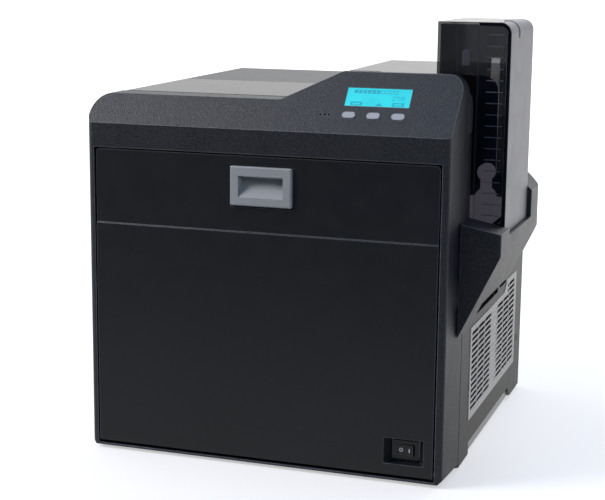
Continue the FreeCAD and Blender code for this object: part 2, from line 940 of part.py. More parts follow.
def front_frame():
    body = new_body()
    depth = size.frame_depth
    pad(body, "XY", (base_z, size.high_top), [
        [(-front_half, zero), (front_half, zero), (half, depth), (-half, depth)],
    ])
    # low left part of the top and the ramp up to the high part
    pocket(body, "XZ", (-size.overrun, depth + size.overrun), [[
        (-half - size.overrun, size.low_top), (size.ramp_start, size.low_top),
        (ramp_end, size.high_top), (ramp_end, size.high_top + size.overrun),
        (-half - size.overrun, size.high_top + size.overrun),
    ]])
    middle = (front_half + half) / 2
    for side, top, radius in (
        (-1, size.low_top, size.left_shoulder), (1, size.high_top, size.right_shoulder),
    ):
        round_edges(body, edges_near(body.Shape, [(side * middle, depth / 2, top)]), radius)
    lower = [(side * middle, depth / 2, base_z) for side in (-1, 1)]
    round_edges(body, edges_near(body.Shape, lower), size.low_corner, "PartDesign::Chamfer")
    # sloped control panel
    rise = size.high_top - size.facet_low + size.overrun
    pocket(body, "YZ", (-half - size.overrun, half + size.overrun), [[
        (-size.overrun, size.facet_low - size.overrun * slope_sin / slope_cos),
        (rise * slope_cos / slope_sin, size.facet_low + rise),
        (-size.overrun, size.facet_low + rise),
    ]])
    for side, radius in ((-1, size.left_corner), (1, size.right_corner)):
        round_edges(body, edges_along(body.Shape, "z", [(side * front_half, zero)]), radius)
    # door opening, right through, and the room behind the panel
    pocket(body, "XZ", (-size.overrun, depth + size.overrun), [
        rectangle((-opening_half, opening_half), (sill_top, opening_top)),
    ])
    skin = size.frame_wall
    sloped = skin / slope_sin
    ramp_room = size.ramp_run * size.ramp_room_share
    ramp_rise = (size.high_top - size.low_top) * size.ramp_room_share
    for left, right, ceiling in (
        (-half + size.left_shoulder, size.ramp_start + ramp_room, size.low_top - skin),
        (size.ramp_start + ramp_room, ramp_end, size.low_top + ramp_rise - skin),
        (ramp_end, half - size.right_shoulder, size.high_top - skin),
    ):
        lift = ceiling - size.facet_low
        pocket(body, "YZ", (left, right), [[
            (sloped, opening_top + skin),
            (sloped, size.facet_low),
            (sloped + lift * slope_cos / slope_sin, ceiling),
            (depth + size.overrun, ceiling),
            (depth + size.overrun, opening_top + skin),
        ]])
    # display window with a ledge for its glass
    low = size.display_up
    high = low + size.display_height
    left = display_x - size.display_width / 2
    right = display_x + size.display_width / 2
    ledge = size.glass_ledge
    bore = skin + size.overrun * 2
    cut_feature(body, facet_sketch(body, -skin - size.overrun, [
        rectangle((left + ledge, right - ledge), (low + ledge, high - ledge)),
    ]), bore)
    seat = size.glass_thick + size.glass_sink
    cut_feature(body, facet_sketch(body, -seat, [rectangle((left, right), (low, high))]), bore)
    # holes for the three buttons and the sounder
    for number in (-1, 0, 1):
        centre = button_x + number * size.button_pitch
        hole = pill(centre, size.button_up, size.button_length, size.button_width, size.button_gap)
        for loops in hole:
            cut_feature(body, facet_sketch(body, -skin - size.overrun, loops), bore)
    spots = [[(sounder_x + number * size.sounder_pitch, size.button_up, size.sounder_radius)]
             for number in (-1, 0, 1)]
    cut_feature(body, facet_sketch(body, -skin - size.overrun, spots), bore)
    # seats of the door's hinge pins
    for side in (-1, 1):
        inner = opening_half
        span = (inner - size.overrun, inner + size.hinge_pin_grip)
        if side < 0:
            span = (-inner - size.hinge_pin_grip, -inner + size.overrun)
        pocket(body, "YZ", span, [[(hinge_y, hinge_z, size.hinge_pin_radius)]])
    return keep("front_frame", body)


def pill(u, v, length, width, grow):
    """Round-ended slot as three loop sets: a bar and its two end circles."""
    radius = width / 2 + grow
    reach = (length - width) / 2
    bar = [rectangle((u - reach, u + reach), (v - radius, v + radius))]
    ends = [[[(u + side * reach, v, radius)]] for side in (-1, 1)]
    return [bar] + ends


def switch_window_outline(grow, deep):
    """The door's window round the switch, at its mouth or at its inner end."""
    x = switch_x
    z = size.switch_z
    if deep:
        side = size.bezel_width / 2 + size.window_side_gap
        high = size.bezel_height / 2 + size.window_top_gap
        low = size.bezel_height / 2 + size.window_low_gap
    else:
        side = size.window_width / 2
        high = size.window_height / 2 + size.window_up
        low = size.window_height / 2 - size.window_up
    return rectangle((x - side - grow, x + side + grow), (z - low - grow, z + high + grow))


def door_shell():
    body = new_body()
    depth = size.door_depth
    skin = size.door_wall
    low = size.door_low
    step_top = size.step_low + size.step_rise
    pad(body, "YZ", (-door_half, door_half), [[
        (zero, low), (zero, size.step_low), (upper_face, step_top), (upper_face, door_top),
        (depth, door_top), (depth, low),
    ]])
    doc.recompute()
    tops = [(side * door_half, (upper_face + depth) / 2, door_top) for side in (-1, 1)]
    round_edges(body, edges_near(body.Shape, tops), size.door_corner)
    round_edges(body, edges_along(body.Shape, "x", [(zero, low)]), size.door_low_round)
    face = upper_face + skin
    pocket(body, "XZ", (face, depth + size.overrun), [
        rectangle((-door_half + skin, door_half - skin), (low + skin, door_top - skin)),
    ])
    # opening for the handle
    side = size.handle_width / 2 + size.handle_gap
    handle_top = size.handle_low + size.handle_height
    pocket(body, "XZ", (-size.overrun, face + size.overrun), [
        rectangle((-side, side), (size.handle_low - size.handle_low_gap, handle_top + size.handle_gap)),
    ])
    # ribs that carry the handle's pivot pins
    pivot_y = size.handle_pivot_back
    pivot_z = size.handle_low + size.handle_pivot_up
    for sign in (-1, 1):
        near = side + size.running
        span = (near, near + size.handle_rib)
        if sign < 0:
            span = (-near - size.handle_rib, -near)
        pad(body, "YZ", span, [
            rectangle((face, pivot_y + size.hinge_boss_radius),
                      (pivot_z - size.hinge_boss_radius, pivot_z + size.hinge_boss_radius)),
            [(pivot_y, pivot_z, size.handle_pin_radius + size.running)],
        ])
    # tapered window for the power switch, and room behind it for the switch
    loft(body, "XZ",
         (size.window_deep, switch_window_outline(size.window_wall, True)),
         (skin / 2, switch_window_outline(size.window_wall, False)))
    doc.recompute()
    loft(body, "XZ",
         (size.window_deep + size.running, switch_window_outline(zero, True)),
         (-size.running, switch_window_outline(zero, False)), True)
    room = (switch_x - size.switch_room, switch_x + size.switch_room)
    pocket(body, "XZ", (size.switch_room_front, depth + size.overrun), [
        rectangle(room, (low - size.overrun, low + skin + size.running)),
    ])
    # hinge bosses at the lower corners
    for sign in (-1, 1):
        outer = door_half
        inner = door_half - size.hinge_boss_length
        span = (inner, outer) if sign > 0 else (-outer, -inner)
        pad(body, "YZ", span, [[(hinge_y, hinge_z, size.hinge_boss_radius)]])
        reach = opening_half - size.hinge_pin_reach
        span = (reach - size.running, outer + size.overrun)
        if sign < 0:
            span = (-outer - size.overrun, -reach + size.running)
        pocket(body, "YZ", span, [[(hinge_y, hinge_z, size.hinge_pin_radius + size.running)]])
    return keep("door_shell", body)


def door_liner():
    depth = size.door_depth
    skin = size.door_wall
    front = depth - size.liner_thick
    inside = door_half - skin
    plate = block((-inside, inside), (front, depth), (size.door_low + skin, door_top - skin))
    room = size.switch_room
    top = size.switch_z + size.bezel_height / 2 + size.bracket_margin * 2
    switch_cut = block((switch_x - room, switch_x + room), (front - size.overrun, depth + size.overrun),
                       (zero, top))
    arm = size.handle_arm_half + size.handle_gap
    arm_z = size.handle_low + size.handle_pivot_up + size.handle_arm_rise
    reach = size.handle_arm_drop + size.handle_arm_thick
    arm_cut = block((-arm, arm), (front - size.overrun, depth + size.overrun),
                    (arm_z - reach - size.handle_arm_thick, arm_z + reach))
    corner = size.hinge_boss_length + size.door_gap
    boss_cuts = [
        block((sign * inside - corner if sign > 0 else -inside - size.overrun,
               inside + size.overrun if sign > 0 else -inside + corner),
              (front - size.overrun, depth + size.overrun), (zero, hinge_z + size.hinge_boss_radius))
        for sign in (-1, 1)
    ]
    ears = []
    for sign in (-1, 1):
        middle = sign * size.latch_ear_place
        ear = block((middle - size.latch_ear / 2, middle + size.latch_ear / 2),
                    (depth, size.latch_back + size.latch_ear_half_height),
                    (size.latch_up - size.latch_ear_half_height, size.latch_up + size.latch_ear_half_height))
        ears.append(ear)
    bore = rod("x", (size.latch_back, size.latch_up), (-latch_half, latch_half),
               size.latch_rod_radius + size.running)
    shape = carve(join(carve(plate, switch_cut, arm_cut, *boss_cuts), *ears), bore)
    return keep("door_liner", shape)


def door_hinge_pins():
    pins = []
    for sign in (-1, 1):
        near = opening_half - size.hinge_pin_reach
        far = opening_half + size.hinge_pin_grip
        span = (near, far) if sign > 0 else (-far, -near)
        pins.append(rod("x", (hinge_y, hinge_z), span, size.hinge_pin_radius))
    return keep("door_hinge_pins", group(*pins))


def door_handle():
    body = new_body()
    low = size.handle_low
    high = low + size.handle_height
    side = size.handle_width / 2
    front = upper_face - size.handle_proud
    back = front + size.scoop_depth + size.scoop_lip
    pad(body, "XZ", (front, back), [rectangle((-side, side), (low, high))])
    doc.recompute()
    rim = [(-side, low), (side, low), (-side, high), (side, high)]
    round_edges(body, edges_along(body.Shape, "y", rim), size.handle_corner)
    loop = [edge for edge in edges_near(body.Shape, [
        (zero, front, low), (zero, front, high), (side, front, (low + high) / 2),
        (-side, front, (low + high) / 2),
    ])]
    round_edges(body, loop, size.button_edge * 2, "PartDesign::Chamfer")
    # scoop with a sloped floor that runs up and back under the top lip
    scoop_low = low + size.scoop_up
    scoop_high = scoop_low + size.scoop_height
    scoop = size.scoop_width / 2
    pocket(body, "YZ", (-scoop, scoop), [[
        (front - size.overrun, scoop_low),
        (front, scoop_low),
        (front + size.scoop_depth, scoop_high - size.scoop_lip),
        (front + size.scoop_depth, scoop_high + size.scoop_lip),
        (front + size.scoop_lip, scoop_high + size.scoop_lip),
        (front + size.scoop_lip, scoop_high),
        (front - size.overrun, scoop_high),
    ]])
    pivot_y = size.handle_pivot_back
    pivot_z = low + size.handle_pivot_up
    pin = side + size.handle_pin_length
    pad(body, "YZ", (-pin, -side), [[(pivot_y, pivot_z, size.handle_pin_radius)]])
    pad(body, "YZ", (side, pin), [[(pivot_y, pivot_z, size.handle_pin_radius)]])
    # arm that reaches back over the latch lever
    arm_z = pivot_z + size.handle_arm_rise
    thick = size.handle_arm_thick
    end = size.latch_back + size.latch_lever_thick / 2 + size.door_gap
    pad(body, "YZ", (-size.handle_arm_half, size.handle_arm_half), [[
        (back, arm_z), (back, arm_z + thick), (end + thick, arm_z + thick),
        (end + thick, arm_z - size.handle_arm_drop), (end, arm_z - size.handle_arm_drop), (end, arm_z),
    ]])
    return keep("door_handle", body)


def latch_bar():
    """Round bar with its lever, and a hook pressed on near each end."""
    y = size.latch_back
    z = size.latch_up
    reach = latch_half
    shaft = [rod("x", (y, z), (-reach, reach), size.latch_rod_radius)]
    lever = size.latch_lever_thick / 2
    shaft.append(block((-size.handle_arm_half, size.handle_arm_half), (y - lever, y + lever),
                       (z, z + size.latch_lever)))
    hooks = []
    for sign in (-1, 1):
        middle = sign * (reach - size.hook_inset)
        x = (middle - size.hook_thick / 2, middle + size.hook_thick / 2)
        arm = block(x, (y, y + size.hook_reach), (z, z + size.hook_bar))
        lip = block(x, (y + size.hook_reach - size.hook_lip, y + size.hook_reach),
                    (z - size.hook_lip, z))
        hub = rod("x", (y, z), x, size.hook_bar)
        bore = rod("x", (y, z), (x[0] - size.overrun, x[1] + size.overrun), size.latch_rod_radius + size.running)
        hooks.append(carve(join(arm, lip, hub), bore))
    return keep("latch_bar", group(join(*shaft), *hooks))


def latch_strikers():
    """Two keepers that hang from the frame; each hook's lip drops behind its wall."""
    keepers = []
    lip_front = size.latch_back + size.hook_reach - size.hook_lip
    back = lip_front - size.striker_gap
    front = back - size.striker_thick
    low = size.latch_up - size.hook_lip - size.striker_depth
    for sign in (-1, 1):
        middle = sign * (latch_half - size.hook_inset)
        near = size.hook_thick / 2 + size.door_gap
        far = near + size.striker_width
        post = (middle + near, middle + far) if sign > 0 else (middle - far, middle - near)
        across = (middle - near, post[1]) if sign > 0 else (post[0], middle + near)
        keepers.append(join(
            block(post, (front, back), (low, opening_top)),
            block(across, (front, back), (low, size.latch_up - size.striker_gap)),
        ))
    return keep("latch_strikers", group(*keepers))


def switch_housing():
    x = switch_x
    z = size.switch_z
    face = size.switch_face
    wide = size.bezel_width / 2
    tall = size.bezel_height / 2
    flange = block((x - wide, x + wide), (face, face + size.bezel_thick), (z - tall, z + tall))
    wide = size.switch_body_width / 2
    tall = size.switch_body_height / 2
    back = face + size.bezel_thick + size.switch_body_depth
    case = block((x - wide, x + wide), (face + size.bezel_thick, back), (z - tall, z + tall))
    wide = size.bezel_width / 2 - size.bezel_rim
    tall = size.bezel_height / 2 - size.bezel_rim
    mouth = block((x - wide, x + wide), (face - size.overrun, face + size.rocker_room), (z - tall, z + tall))
    grip = tall - size.rocker_gap + size.rocker_pin_reach + size.rocker_pin_room
    bearing = rod("z", (x, face + size.rocker_axis), (z - grip, z + grip), size.rocker_pin_radius + size.running)
    return keep("switch_housing", carve(join(flange, case), mouth, bearing))


def switch_rocker():
    """Shallow V rocker on two pins; it tips about them, and its left half is pressed in."""
    body = new_body()
    wide = size.bezel_width / 2 - size.bezel_rim - size.rocker_gap - size.rocker_sweep
    tall = size.bezel_height / 2 - size.bezel_rim - size.rocker_gap
    ahead = size.rocker_ahead
    end = ahead + wide * sine(size.rocker_bow) / cosine(size.rocker_bow)
    behind = size.rocker_behind
    axis_y = size.switch_face + size.rocker_axis

    def tipped(u, v):
        return (switch_x + u * cosine(size.rocker_tilt) + v * sine(size.rocker_tilt),
                axis_y + v * cosine(size.rocker_tilt) - u * sine(size.rocker_tilt))

    outline = [tipped(u, v) for u, v in (
        (-wide, -end), (zero, -ahead), (wide, -end), (wide, behind), (-wide, behind),
    )]
    pad(body, "XY", (size.switch_z - tall, size.switch_z + tall), [outline])
    reach = tall + size.rocker_pin_reach
    pad(body, "XY", (size.switch_z - reach, size.switch_z + reach), [
        [(switch_x, axis_y, size.rocker_pin_radius)],
    ])
    return keep("switch_rocker", body)


def facet_plate(label, u, v, low, high):
    """Flat piece that lies parallel to the sloped panel."""
    body = new_body()
    low = Length.of(low)
    sketch = facet_sketch(body, low, [rectangle(u, v)])
    add_feature(body, "PartDesign::Pad", sketch, high - low)
    return keep(label, body)


def display_span(grow):
    u = (display_x - size.display_width / 2 - grow, display_x + size.display_width / 2 + grow)
    v = (size.display_up - grow, size.display_up + size.display_height + grow)
    return u, v


def display_glass():
    u, v = display_span(zero)
    return facet_plate("display_glass", u, v, -size.glass_sink - size.glass_thick, -size.glass_sink)


board_top = -size.frame_wall - size.module_thick - size.board_post


def display_module():
    u, v = display_span(size.module_margin)
    return facet_plate("display_module", u, v, board_top, -size.frame_wall)


def control_board():
    left = sounder_x - size.board_margin
    right = display_x + size.display_width / 2 + size.board_margin
    low = size.button_up - size.board_margin
    high = size.display_up + size.display_height + size.module_margin
    return facet_plate("control_board", (left, right), (low, high), board_top - size.board_thick, board_top)


def control_button(label, number):
    body = new_body()
    u = button_x + number * size.button_pitch
    v = size.button_up
    flange_top = -size.frame_wall - size.running
    flange_low = flange_top - size.button_flange_thick
    grow = size.button_flange
    for loops in pill(u, v, size.button_length, size.button_width, grow):
        sketch = facet_sketch(body, flange_low, loops)
        add_feature(body, "PartDesign::Pad", sketch, size.button_flange_thick)
    for loops in pill(u, v, size.button_length, size.button_width, zero):
        sketch = facet_sketch(body, flange_low, loops)
        add_feature(body, "PartDesign::Pad", sketch, size.button_rise - flange_low)
    # plunger that stands on the board's switch
    stem = board_top + size.button_travel + size.running
    sketch = facet_sketch(body, stem, [[(u, v, size.button_width / 3)]])
    add_feature(body, "PartDesign::Pad", sketch, flange_low - stem)
    doc.recompute()
    crown = [edge for edge in top_edges(body.Shape, size.button_rise)]
    round_edges(body, crown, size.button_edge)
    return keep(label, body)


def top_edges(shape, lift):
    """Edges of a piece on the sloped panel that lie at one height above it."""
    normal = FreeCAD.Vector(0, -slope_sin.number, slope_cos.number)
    base = FreeCAD.Vector(0, 0, size.facet_low.number)
    names = []
    for number, edge in enumerate(shape.Edges, start=1):
        heights = [(vertex.Point - base).dot(normal) for vertex in edge.Vertexes]
        if all(abs(height - lift.number) < 0.01 for height in heights):
            names.append(f"Edge{number}")
    return names


def cover_side(front, back, low, roof_front, roof_back):
    """Side view of a cover: level below, its top rising a little to the rear."""
    return [(front, low), (back, low), (back, roof_back), (front, roof_front)]


def left_top_cover():
    body = new_body()
    front = size.frame_depth + size.case_gap
    back = size.body_depth
    bevel = size.cover_chamfer
    skin = size.wall
    left = -half
    roof = (size.left_cover_front, size.left_cover_back)
    pad(body, "YZ", (left, size.raised_step), [cover_side(front, back, size.side_top, *roof)])
    pocket(body, "XY", (size.side_top - size.overrun, roof[1] + size.overrun), [
        rectangle((size.raised_left, size.raised_step + size.overrun), (size.cover_split, back + size.overrun)),
    ])
    ridge = [(left, (front + back) / 2, (roof[0] + roof[1]) / 2)]
    round_edges(body, edges_near(body.Shape, ridge), bevel, "PartDesign::Chamfer")
    floor = size.side_top - size.overrun
    pocket(body, "YZ", (left + skin + bevel, size.raised_step + size.overrun), [
        cover_side(front - size.overrun, back - skin, floor, roof[0] - skin, roof[1] - skin),
    ])
    under = roof[0] - skin
    pocket(body, "XZ", (front - size.overrun, back - skin), [[
        (left + skin, floor), (left + skin, under - bevel), (left + skin + bevel, under),
        (left + skin + bevel + size.overrun, under), (left + skin + bevel + size.overrun, floor),
    ]])
    # shallow joint between the front band and the rear part of the cover
    pocket(body, "YZ", (-half - size.overrun, size.raised_left + size.overrun), [
        rectangle((size.cover_split, size.cover_split + size.cover_groove),
                  (size.left_cover_front + size.case_gap, size.left_cover_back + size.overrun)),
    ])
    return keep("left_top_cover", body)


def raised_top_cover():
    body = new_body()
    front = size.frame_depth + size.case_gap
    back = size.body_depth
    bevel = size.raised_shoulder
    skin = size.wall
    left = size.raised_left + size.case_gap
    roof = (size.raised_front, size.raised_back)
    pad(body, "YZ", (left, half), [cover_side(front, back, size.side_top, *roof)])
    doc.recompute()
    ridge = [(half, (front + back) / 2, (roof[0] + roof[1]) / 2)]
    round_edges(body, edges_near(body.Shape, ridge), bevel)
    # up to the joint it starts further right, so that the low cover runs on behind the ramp
    step = size.raised_step + size.case_gap
    turn = size.cover_split + size.case_gap
    pocket(body, "XY", (size.side_top - size.overrun, roof[1] + size.overrun), [
        rectangle((left - size.overrun, step), (front - size.overrun, turn)),
    ])
    floor = size.side_top - size.overrun
    rise = (roof[1] - roof[0]) / (back - front)
    turned_roof = roof[0] + (turn + skin - front) * rise - skin
    pocket(body, "YZ", (step + skin, half - skin - bevel), [
        cover_side(front - size.overrun, turn + skin, floor, roof[0] - skin, turned_roof),
    ])
    pocket(body, "YZ", (left + skin, half - skin - bevel), [
        cover_side(turn + skin, back - skin, floor, turned_roof, roof[1] - skin),
    ])
    under = roof[0] - skin
    pocket(body, "XZ", (front - size.overrun, back - skin), [[
        (half - skin, floor), (half - skin, under - bevel), (half - skin - bevel, under),
        (half - skin - bevel - size.overrun, under), (half - skin - bevel - size.overrun, floor),
    ]])
    pocket(body, "XY", (size.side_top - size.overrun, size.raised_back + size.overrun), [
        rectangle((well_left, half + size.overrun), (well_front, well_back)),
    ])
    return keep("raised_top_cover", body)


def side_outline(front, back):
    """Side panel with the low hand cut between its two feet ends."""
    cut_top = base_z + size.hand_cut_height
    return [
        (front, base_z), (size.hand_cut_front, base_z), (size.hand_cut_front, cut_top),
        (hand_cut_back, cut_top), (hand_cut_back + size.hand_cut_slope, base_z),
        (back, base_z), (back, size.side_top), (front, size.side_top),
    ]


def exit_chute():
    """Rim and throat in the left panel through which finished cards drop out."""
    rim = size.exit_rim
    thick = size.exit_rim_thick
    inner = -inner_half
    outer_y = (size.exit_front - rim, size.exit_back + rim)
    outer_z = (size.exit_low - rim, size.exit_high + rim)
    flange = block((inner, inner + thick), outer_y, outer_z)
    throat = block((-half, inner + thick), (size.exit_front, size.exit_back), (size.exit_low, size.exit_high))
    room = size.exit_rim / 2
    hole = block((-half - size.overrun, inner + thick + size.overrun),
                 (size.exit_front + room, size.exit_back - room), (size.exit_low + room, size.exit_high - room))
    return carve(join(flange, throat), hole)


def left_side_panel():
    body = new_body()
    front = size.frame_depth + size.case_gap
    pad(body, "YZ", (-half, -inner_half), [side_outline(front, size.body_depth)])
    pocket(body, "YZ", (-half - size.overrun, -inner_half + size.overrun), [
        rectangle((size.exit_front, size.exit_back), (size.exit_low, size.exit_high)),
    ])
    return keep("left_side_panel", join(body, exit_chute()))


def grille_outline():
    """Side view of the insert: level below, its rear part standing higher."""
    front = size.grille_front
    back = grille_back
    step_front = front + grille_long * size.grille_step_share
    step_back = step_front + size.grille_step_run
    return [
        (front, size.grille_low), (back, size.grille_low), (back, size.grille_high),
        (step_back, size.grille_high), (step_front, size.grille_mid), (front, size.grille_mid),
    ]


def right_side_panel():
    body = new_body()
    front = size.frame_depth + size.case_gap
    pad(body, "YZ", (inner_half, half), [side_outline(front, size.body_depth)])
    through = (inner_half - size.overrun, half + size.overrun)
    pocket(body, "YZ", through, [grille_outline()])
    pocket(body, "YZ", through, [
        rectangle((well_front, well_back), (size.cradle_floor, size.side_top + size.overrun)),
        rectangle((catch_hole_y - size.catch_hole_half, catch_hole_y + size.catch_hole_half),
                  (size.catch_hole_low, size.catch_hole_high)),
        rectangle((size.slit_front, size.slit_back), (size.slit_low, size.slit_high)),
        rectangle((size.rear_slit_front, size.rear_slit_back), (size.rear_slit_low, size.slit_high)),
    ])
    # open joint along the front frame
    pocket(body, "YZ", (half - size.side_joint_depth, half + size.overrun), [
        rectangle((front - size.overrun, front + size.side_joint_width),
                  (base_z - size.overrun, size.side_top + size.overrun)),
    ])
    return keep("right_side_panel", body)


def side_grille():
    """Louvred insert: two fields of slots with a ribbed band between them."""
    body = new_body()
    outer = half + size.grille_proud
    pad(body, "YZ", (outer - size.grille_thick, outer), [grille_outline()])
    through = (inner_half - size.overrun, outer + size.overrun)
    long = grille_long * size.louvre_share
    column = grille_long * size.louvre_pitch_share
    left = size.grille_front + grille_long * size.louvre_left_share
    right = size.grille_front + grille_long * size.louvre_right_share
    first = size.louvre_first
    height = (first, first + size.louvre_height)
    starts = [field + column * number for field in (left, right) for number in range(3)]
    slots = pocket(body, "YZ", through, [rectangle((start, start + long), height) for start in starts])
    repeat(body, slots, "Z_Axis", size.louvre_pitch, LOUVRE_ROWS)
    # shallow ribs carry the rows on across the band
    margin = column - long
    band = (left + column * 2 + long + margin, right - margin)
    ribs = pocket(body, "YZ", (outer - size.band_rib_depth, outer + size.overrun), [rectangle(band, height)])
    repeat(body, ribs, "Z_Axis", size.louvre_pitch, LOUVRE_ROWS)
    # the higher rear part has two more rows
    low = first + LOUVRE_ROWS * size.louvre_pitch
    near = size.grille_front + grille_long * size.grille_step_share + size.grille_step_run + size.grille_rim
    top = pocket(body, "YZ", through, [
        rectangle((near, right + column + long), (low, low + size.louvre_height)),
        rectangle((right + column * 2, right + column * 2 + long), (low, low + size.louvre_height)),
    ])
    repeat(body, top, "Z_Axis", size.louvre_pitch, 2)
    return keep("side_grille", body)


def rear_panel():
    body = new_body()
    pad(body, "XZ", (back_inner, size.body_depth), [
        rectangle((-inner_half, inner_half), (base_z, size.side_top)),
    ])
    span = (back_inner - size.overrun, size.body_depth + size.overrun)
    wide = size.inlet_width / 2
    tall = size.inlet_height / 2
    play = size.touch_gap / 2
    port = size.port_width / 2 + play
    port_low = board_low + size.board_thick - play
    port_high = board_low + size.board_thick + size.port_height + play
    holes = [rectangle((inlet_x - wide - play, inlet_x + wide + play),
                       (size.inlet_z - tall - play, size.inlet_z + tall + play))]
    for number in (0, 1):
        x = size.port_x + number * size.port_pitch
        holes.append(rectangle((x - port, x + port), (port_low, port_high)))
    pocket(body, "XZ", span, holes)
    slots = []
    reach = size.fan_size / 2 - size.fan_corner * 2
    for number in range(-4, 5):
        x = size.fan_x + number * size.vent_pitch
        slots.append(rectangle((x - size.vent_slot / 2, x + size.vent_slot / 2),
                               (size.fan_z - reach, size.fan_z + reach)))
    pocket(body, "XZ", span, slots)
    return keep("rear_panel", body)


def cradle_section(inset):
    """Front view of the cradle: wedge that grows out of the body's side to its top."""
    right = cradle_right - inset
    slant = (size.cradle_low_out - size.cradle_point) / (cradle_right - half)
    low_in = size.cradle_point + inset * slant
    return [
        (half, low_in + inset),
        (right, size.cradle_low_out + inset),
        (right, size.cradle_top_out),
        (half, size.cradle_top_in),
    ]


def feeder_cradle():
    body = new_body()
    front = size.cradle_front
    back = size.cradle_back
    wall = size.cradle_wall
    pad(body, "XZ", (front, back), [cradle_section(zero)])
    # rear upstand that hooks round behind the hopper
    top = size.cradle_hook_top
    bevel = size.cradle_hook_bevel
    right = cradle_right
    pad(body, "XZ", (size.hopper_back + size.touch_gap, back), [[
        (half, size.cradle_top_out - size.overrun), (right, size.cradle_top_out - size.overrun),
        (right, top - bevel), (right - bevel, top), (half, top),
    ]])
    doc.recompute()
    # nose: the lower front runs back to the body's side along the slant
    round_edges(body, edges_along(body.Shape, "z", [(right, back)]), size.cradle_hook_round)
    round_edges(body, edges_along(body.Shape, "z", [(right, front)]), size.cradle_round)
    # room for the hopper, open to the top
    deck = size.hopper_front - size.well_gap
    pocket(body, "XY", (size.cradle_floor + wall, top + size.overrun), [
        rectangle((half - size.overrun, right - wall), (deck, size.hopper_back + size.touch_gap)),
    ])
    # the outer rim beside the hopper's cover is lower than the deck and the upstand
    pocket(body, "XY", (size.cradle_rim, top + size.overrun), [
        rectangle((right - wall - size.running, right + size.overrun), (deck, size.hopper_back + size.touch_gap)),
    ])
    # hollow below the deck, open towards the body
    low_x, low_z = cradle_section(wall)[0]
    slant = (size.cradle_low_out - size.cradle_point) / (cradle_right - half)
    meet = low_x + (size.cradle_floor - low_z) / slant
    pocket(body, "XZ", (front + wall, back - wall), [[
        (half - size.overrun, low_z), (low_x, low_z),
        (meet, size.cradle_floor), (half - size.overrun, size.cradle_floor),
    ]])
    # behind the nose the lower edge stays clear of the slit in the side panel
    pocket(body, "YZ", (half - size.overrun, half + size.skirt_reach), [
        rectangle((size.slit_front, back + size.overrun), (size.cradle_point - size.overrun, size.skirt_low)),
    ])
    return keep("feeder_cradle", body)


def hopper_well():
    """Lining of the notch in the case that the hopper's inner half drops into."""
    left = well_left
    wall = size.well_wall
    floor = size.well_floor
    top = size.side_top
    outer = block((left, inner_half), (well_front, well_back), (floor, top))
    inner = block((left + wall, half + size.overrun), (well_front + wall, well_back - wall),
                  (floor + wall, top + size.overrun))
    roller = size.pick_radius + size.door_gap
    middle = size.pick_y
    slot = block((pick_x - roller, pick_x + roller),
                 (middle - size.pick_half_length - size.door_gap, middle + size.pick_half_length + size.door_gap),
                 (floor - size.overrun, floor + wall + size.overrun))
    gate = block((left - size.overrun, left + wall + size.overrun), (size.web_front, size.web_back),
                 (floor + wall, floor + wall + size.guide_gap * 2))
    ears = []
    for sign in (-1, 1):
        middle = size.pick_y + sign * (size.pick_half_length + size.door_gap + size.pick_ear)
        wide = size.feed_shaft + size.pick_ear
        ears.append(block((pick_x - wide, pick_x + wide),
                          (middle - size.pick_ear / 2, middle + size.pick_ear / 2),
                          (pick_z - size.pick_ear_drop - size.feed_shaft, floor + size.well_wall / 2)))
    bore = rod("y", (pick_x, pick_z), (well_front, well_back), size.feed_shaft + size.running)
    return keep("hopper_well", carve(join(carve(outer, inner, slot, gate), *ears), bore))


def hopper_housing():
    body = new_body()
    left = hopper_left
    right = hopper_right - size.cover_skin - size.touch_gap
    front = size.hopper_front
    back = size.hopper_back
    wall = size.hopper_wall
    low = size.hopper_low
    top = size.hopper_top
    pad(body, "XZ", (front, back), [rectangle((left, right), (low, top))])
    doc.recompute()
    bend = size.hopper_round - size.cover_skin + size.touch_gap
    round_edges(body, edges_along(body.Shape, "y", [(right, top)]), bend)
    # card shaft, open at the bottom and on the right under the cover
    pocket(body, "XY", (low - size.overrun, top - wall), [
        rectangle((left + wall, right + size.overrun), (front + wall, back - wall)),
    ])
    # strip of roof that the cover's top edge lies over
    pocket(body, "XZ", (front + wall, back - wall), [
        rectangle((hopper_right - size.cover_wrap - size.touch_gap, right + size.overrun),
                  (top - wall - size.overrun, top + size.overrun)),
    ])
    # upright joints between the three fields of the front
    groove = size.hopper_groove
    for place in (joint_left, joint_right):
        pocket(body, "XY", (low - size.overrun, top + size.overrun), [
            rectangle((place, place + size.hopper_groove_width), (front - size.overrun, front + groove)),
        ])
    # filling marks
    mark = pocket(body, "XZ", (front - size.overrun, front + size.mark_depth), [
        rectangle((mark_left, mark_left + size.mark_length),
                  (size.mark_first, size.mark_first + size.mark_height)),
    ])
    repeat(body, mark, "Z_Axis", size.mark_pitch, 17)
    # slot in the rear wall for the weight's guide
    middle = (left + right) / 2
    pocket(body, "XZ", (back - wall - size.overrun, back + size.overrun), [
        rectangle((middle - size.rail_slot, middle + size.rail_slot),
                  (low - size.overrun, size.weight_low + size.weight_travel + size.weight_thick * 2)),
    ])
    # the walls leave room below the hinge for the foot of the swinging cover
    x = hopper_right - size.knuckle_in
    z = size.knuckle_up
    foot = z - size.cover_low
    reach = root(size.knuckle_in * size.knuckle_in + foot * foot) + size.touch_gap
    for span in ((front - size.overrun, front + wall), (back - wall, back + size.overrun)):
        pocket(body, "XZ", span, [rectangle((x - reach, right + size.overrun), (low - size.overrun, z))])
    # knuckles for the cover's hinge
    for start in (front + wall, back - wall - size.knuckle_length):
        pad(body, "XZ", (start, start + size.knuckle_length), [[(x, z, size.knuckle_radius)]])
    pocket(body, "XZ", (front + wall + size.running, back - wall - size.running), [
        [(x, z, size.hopper_pin_radius)],
    ])
    return keep("hopper_housing", body)


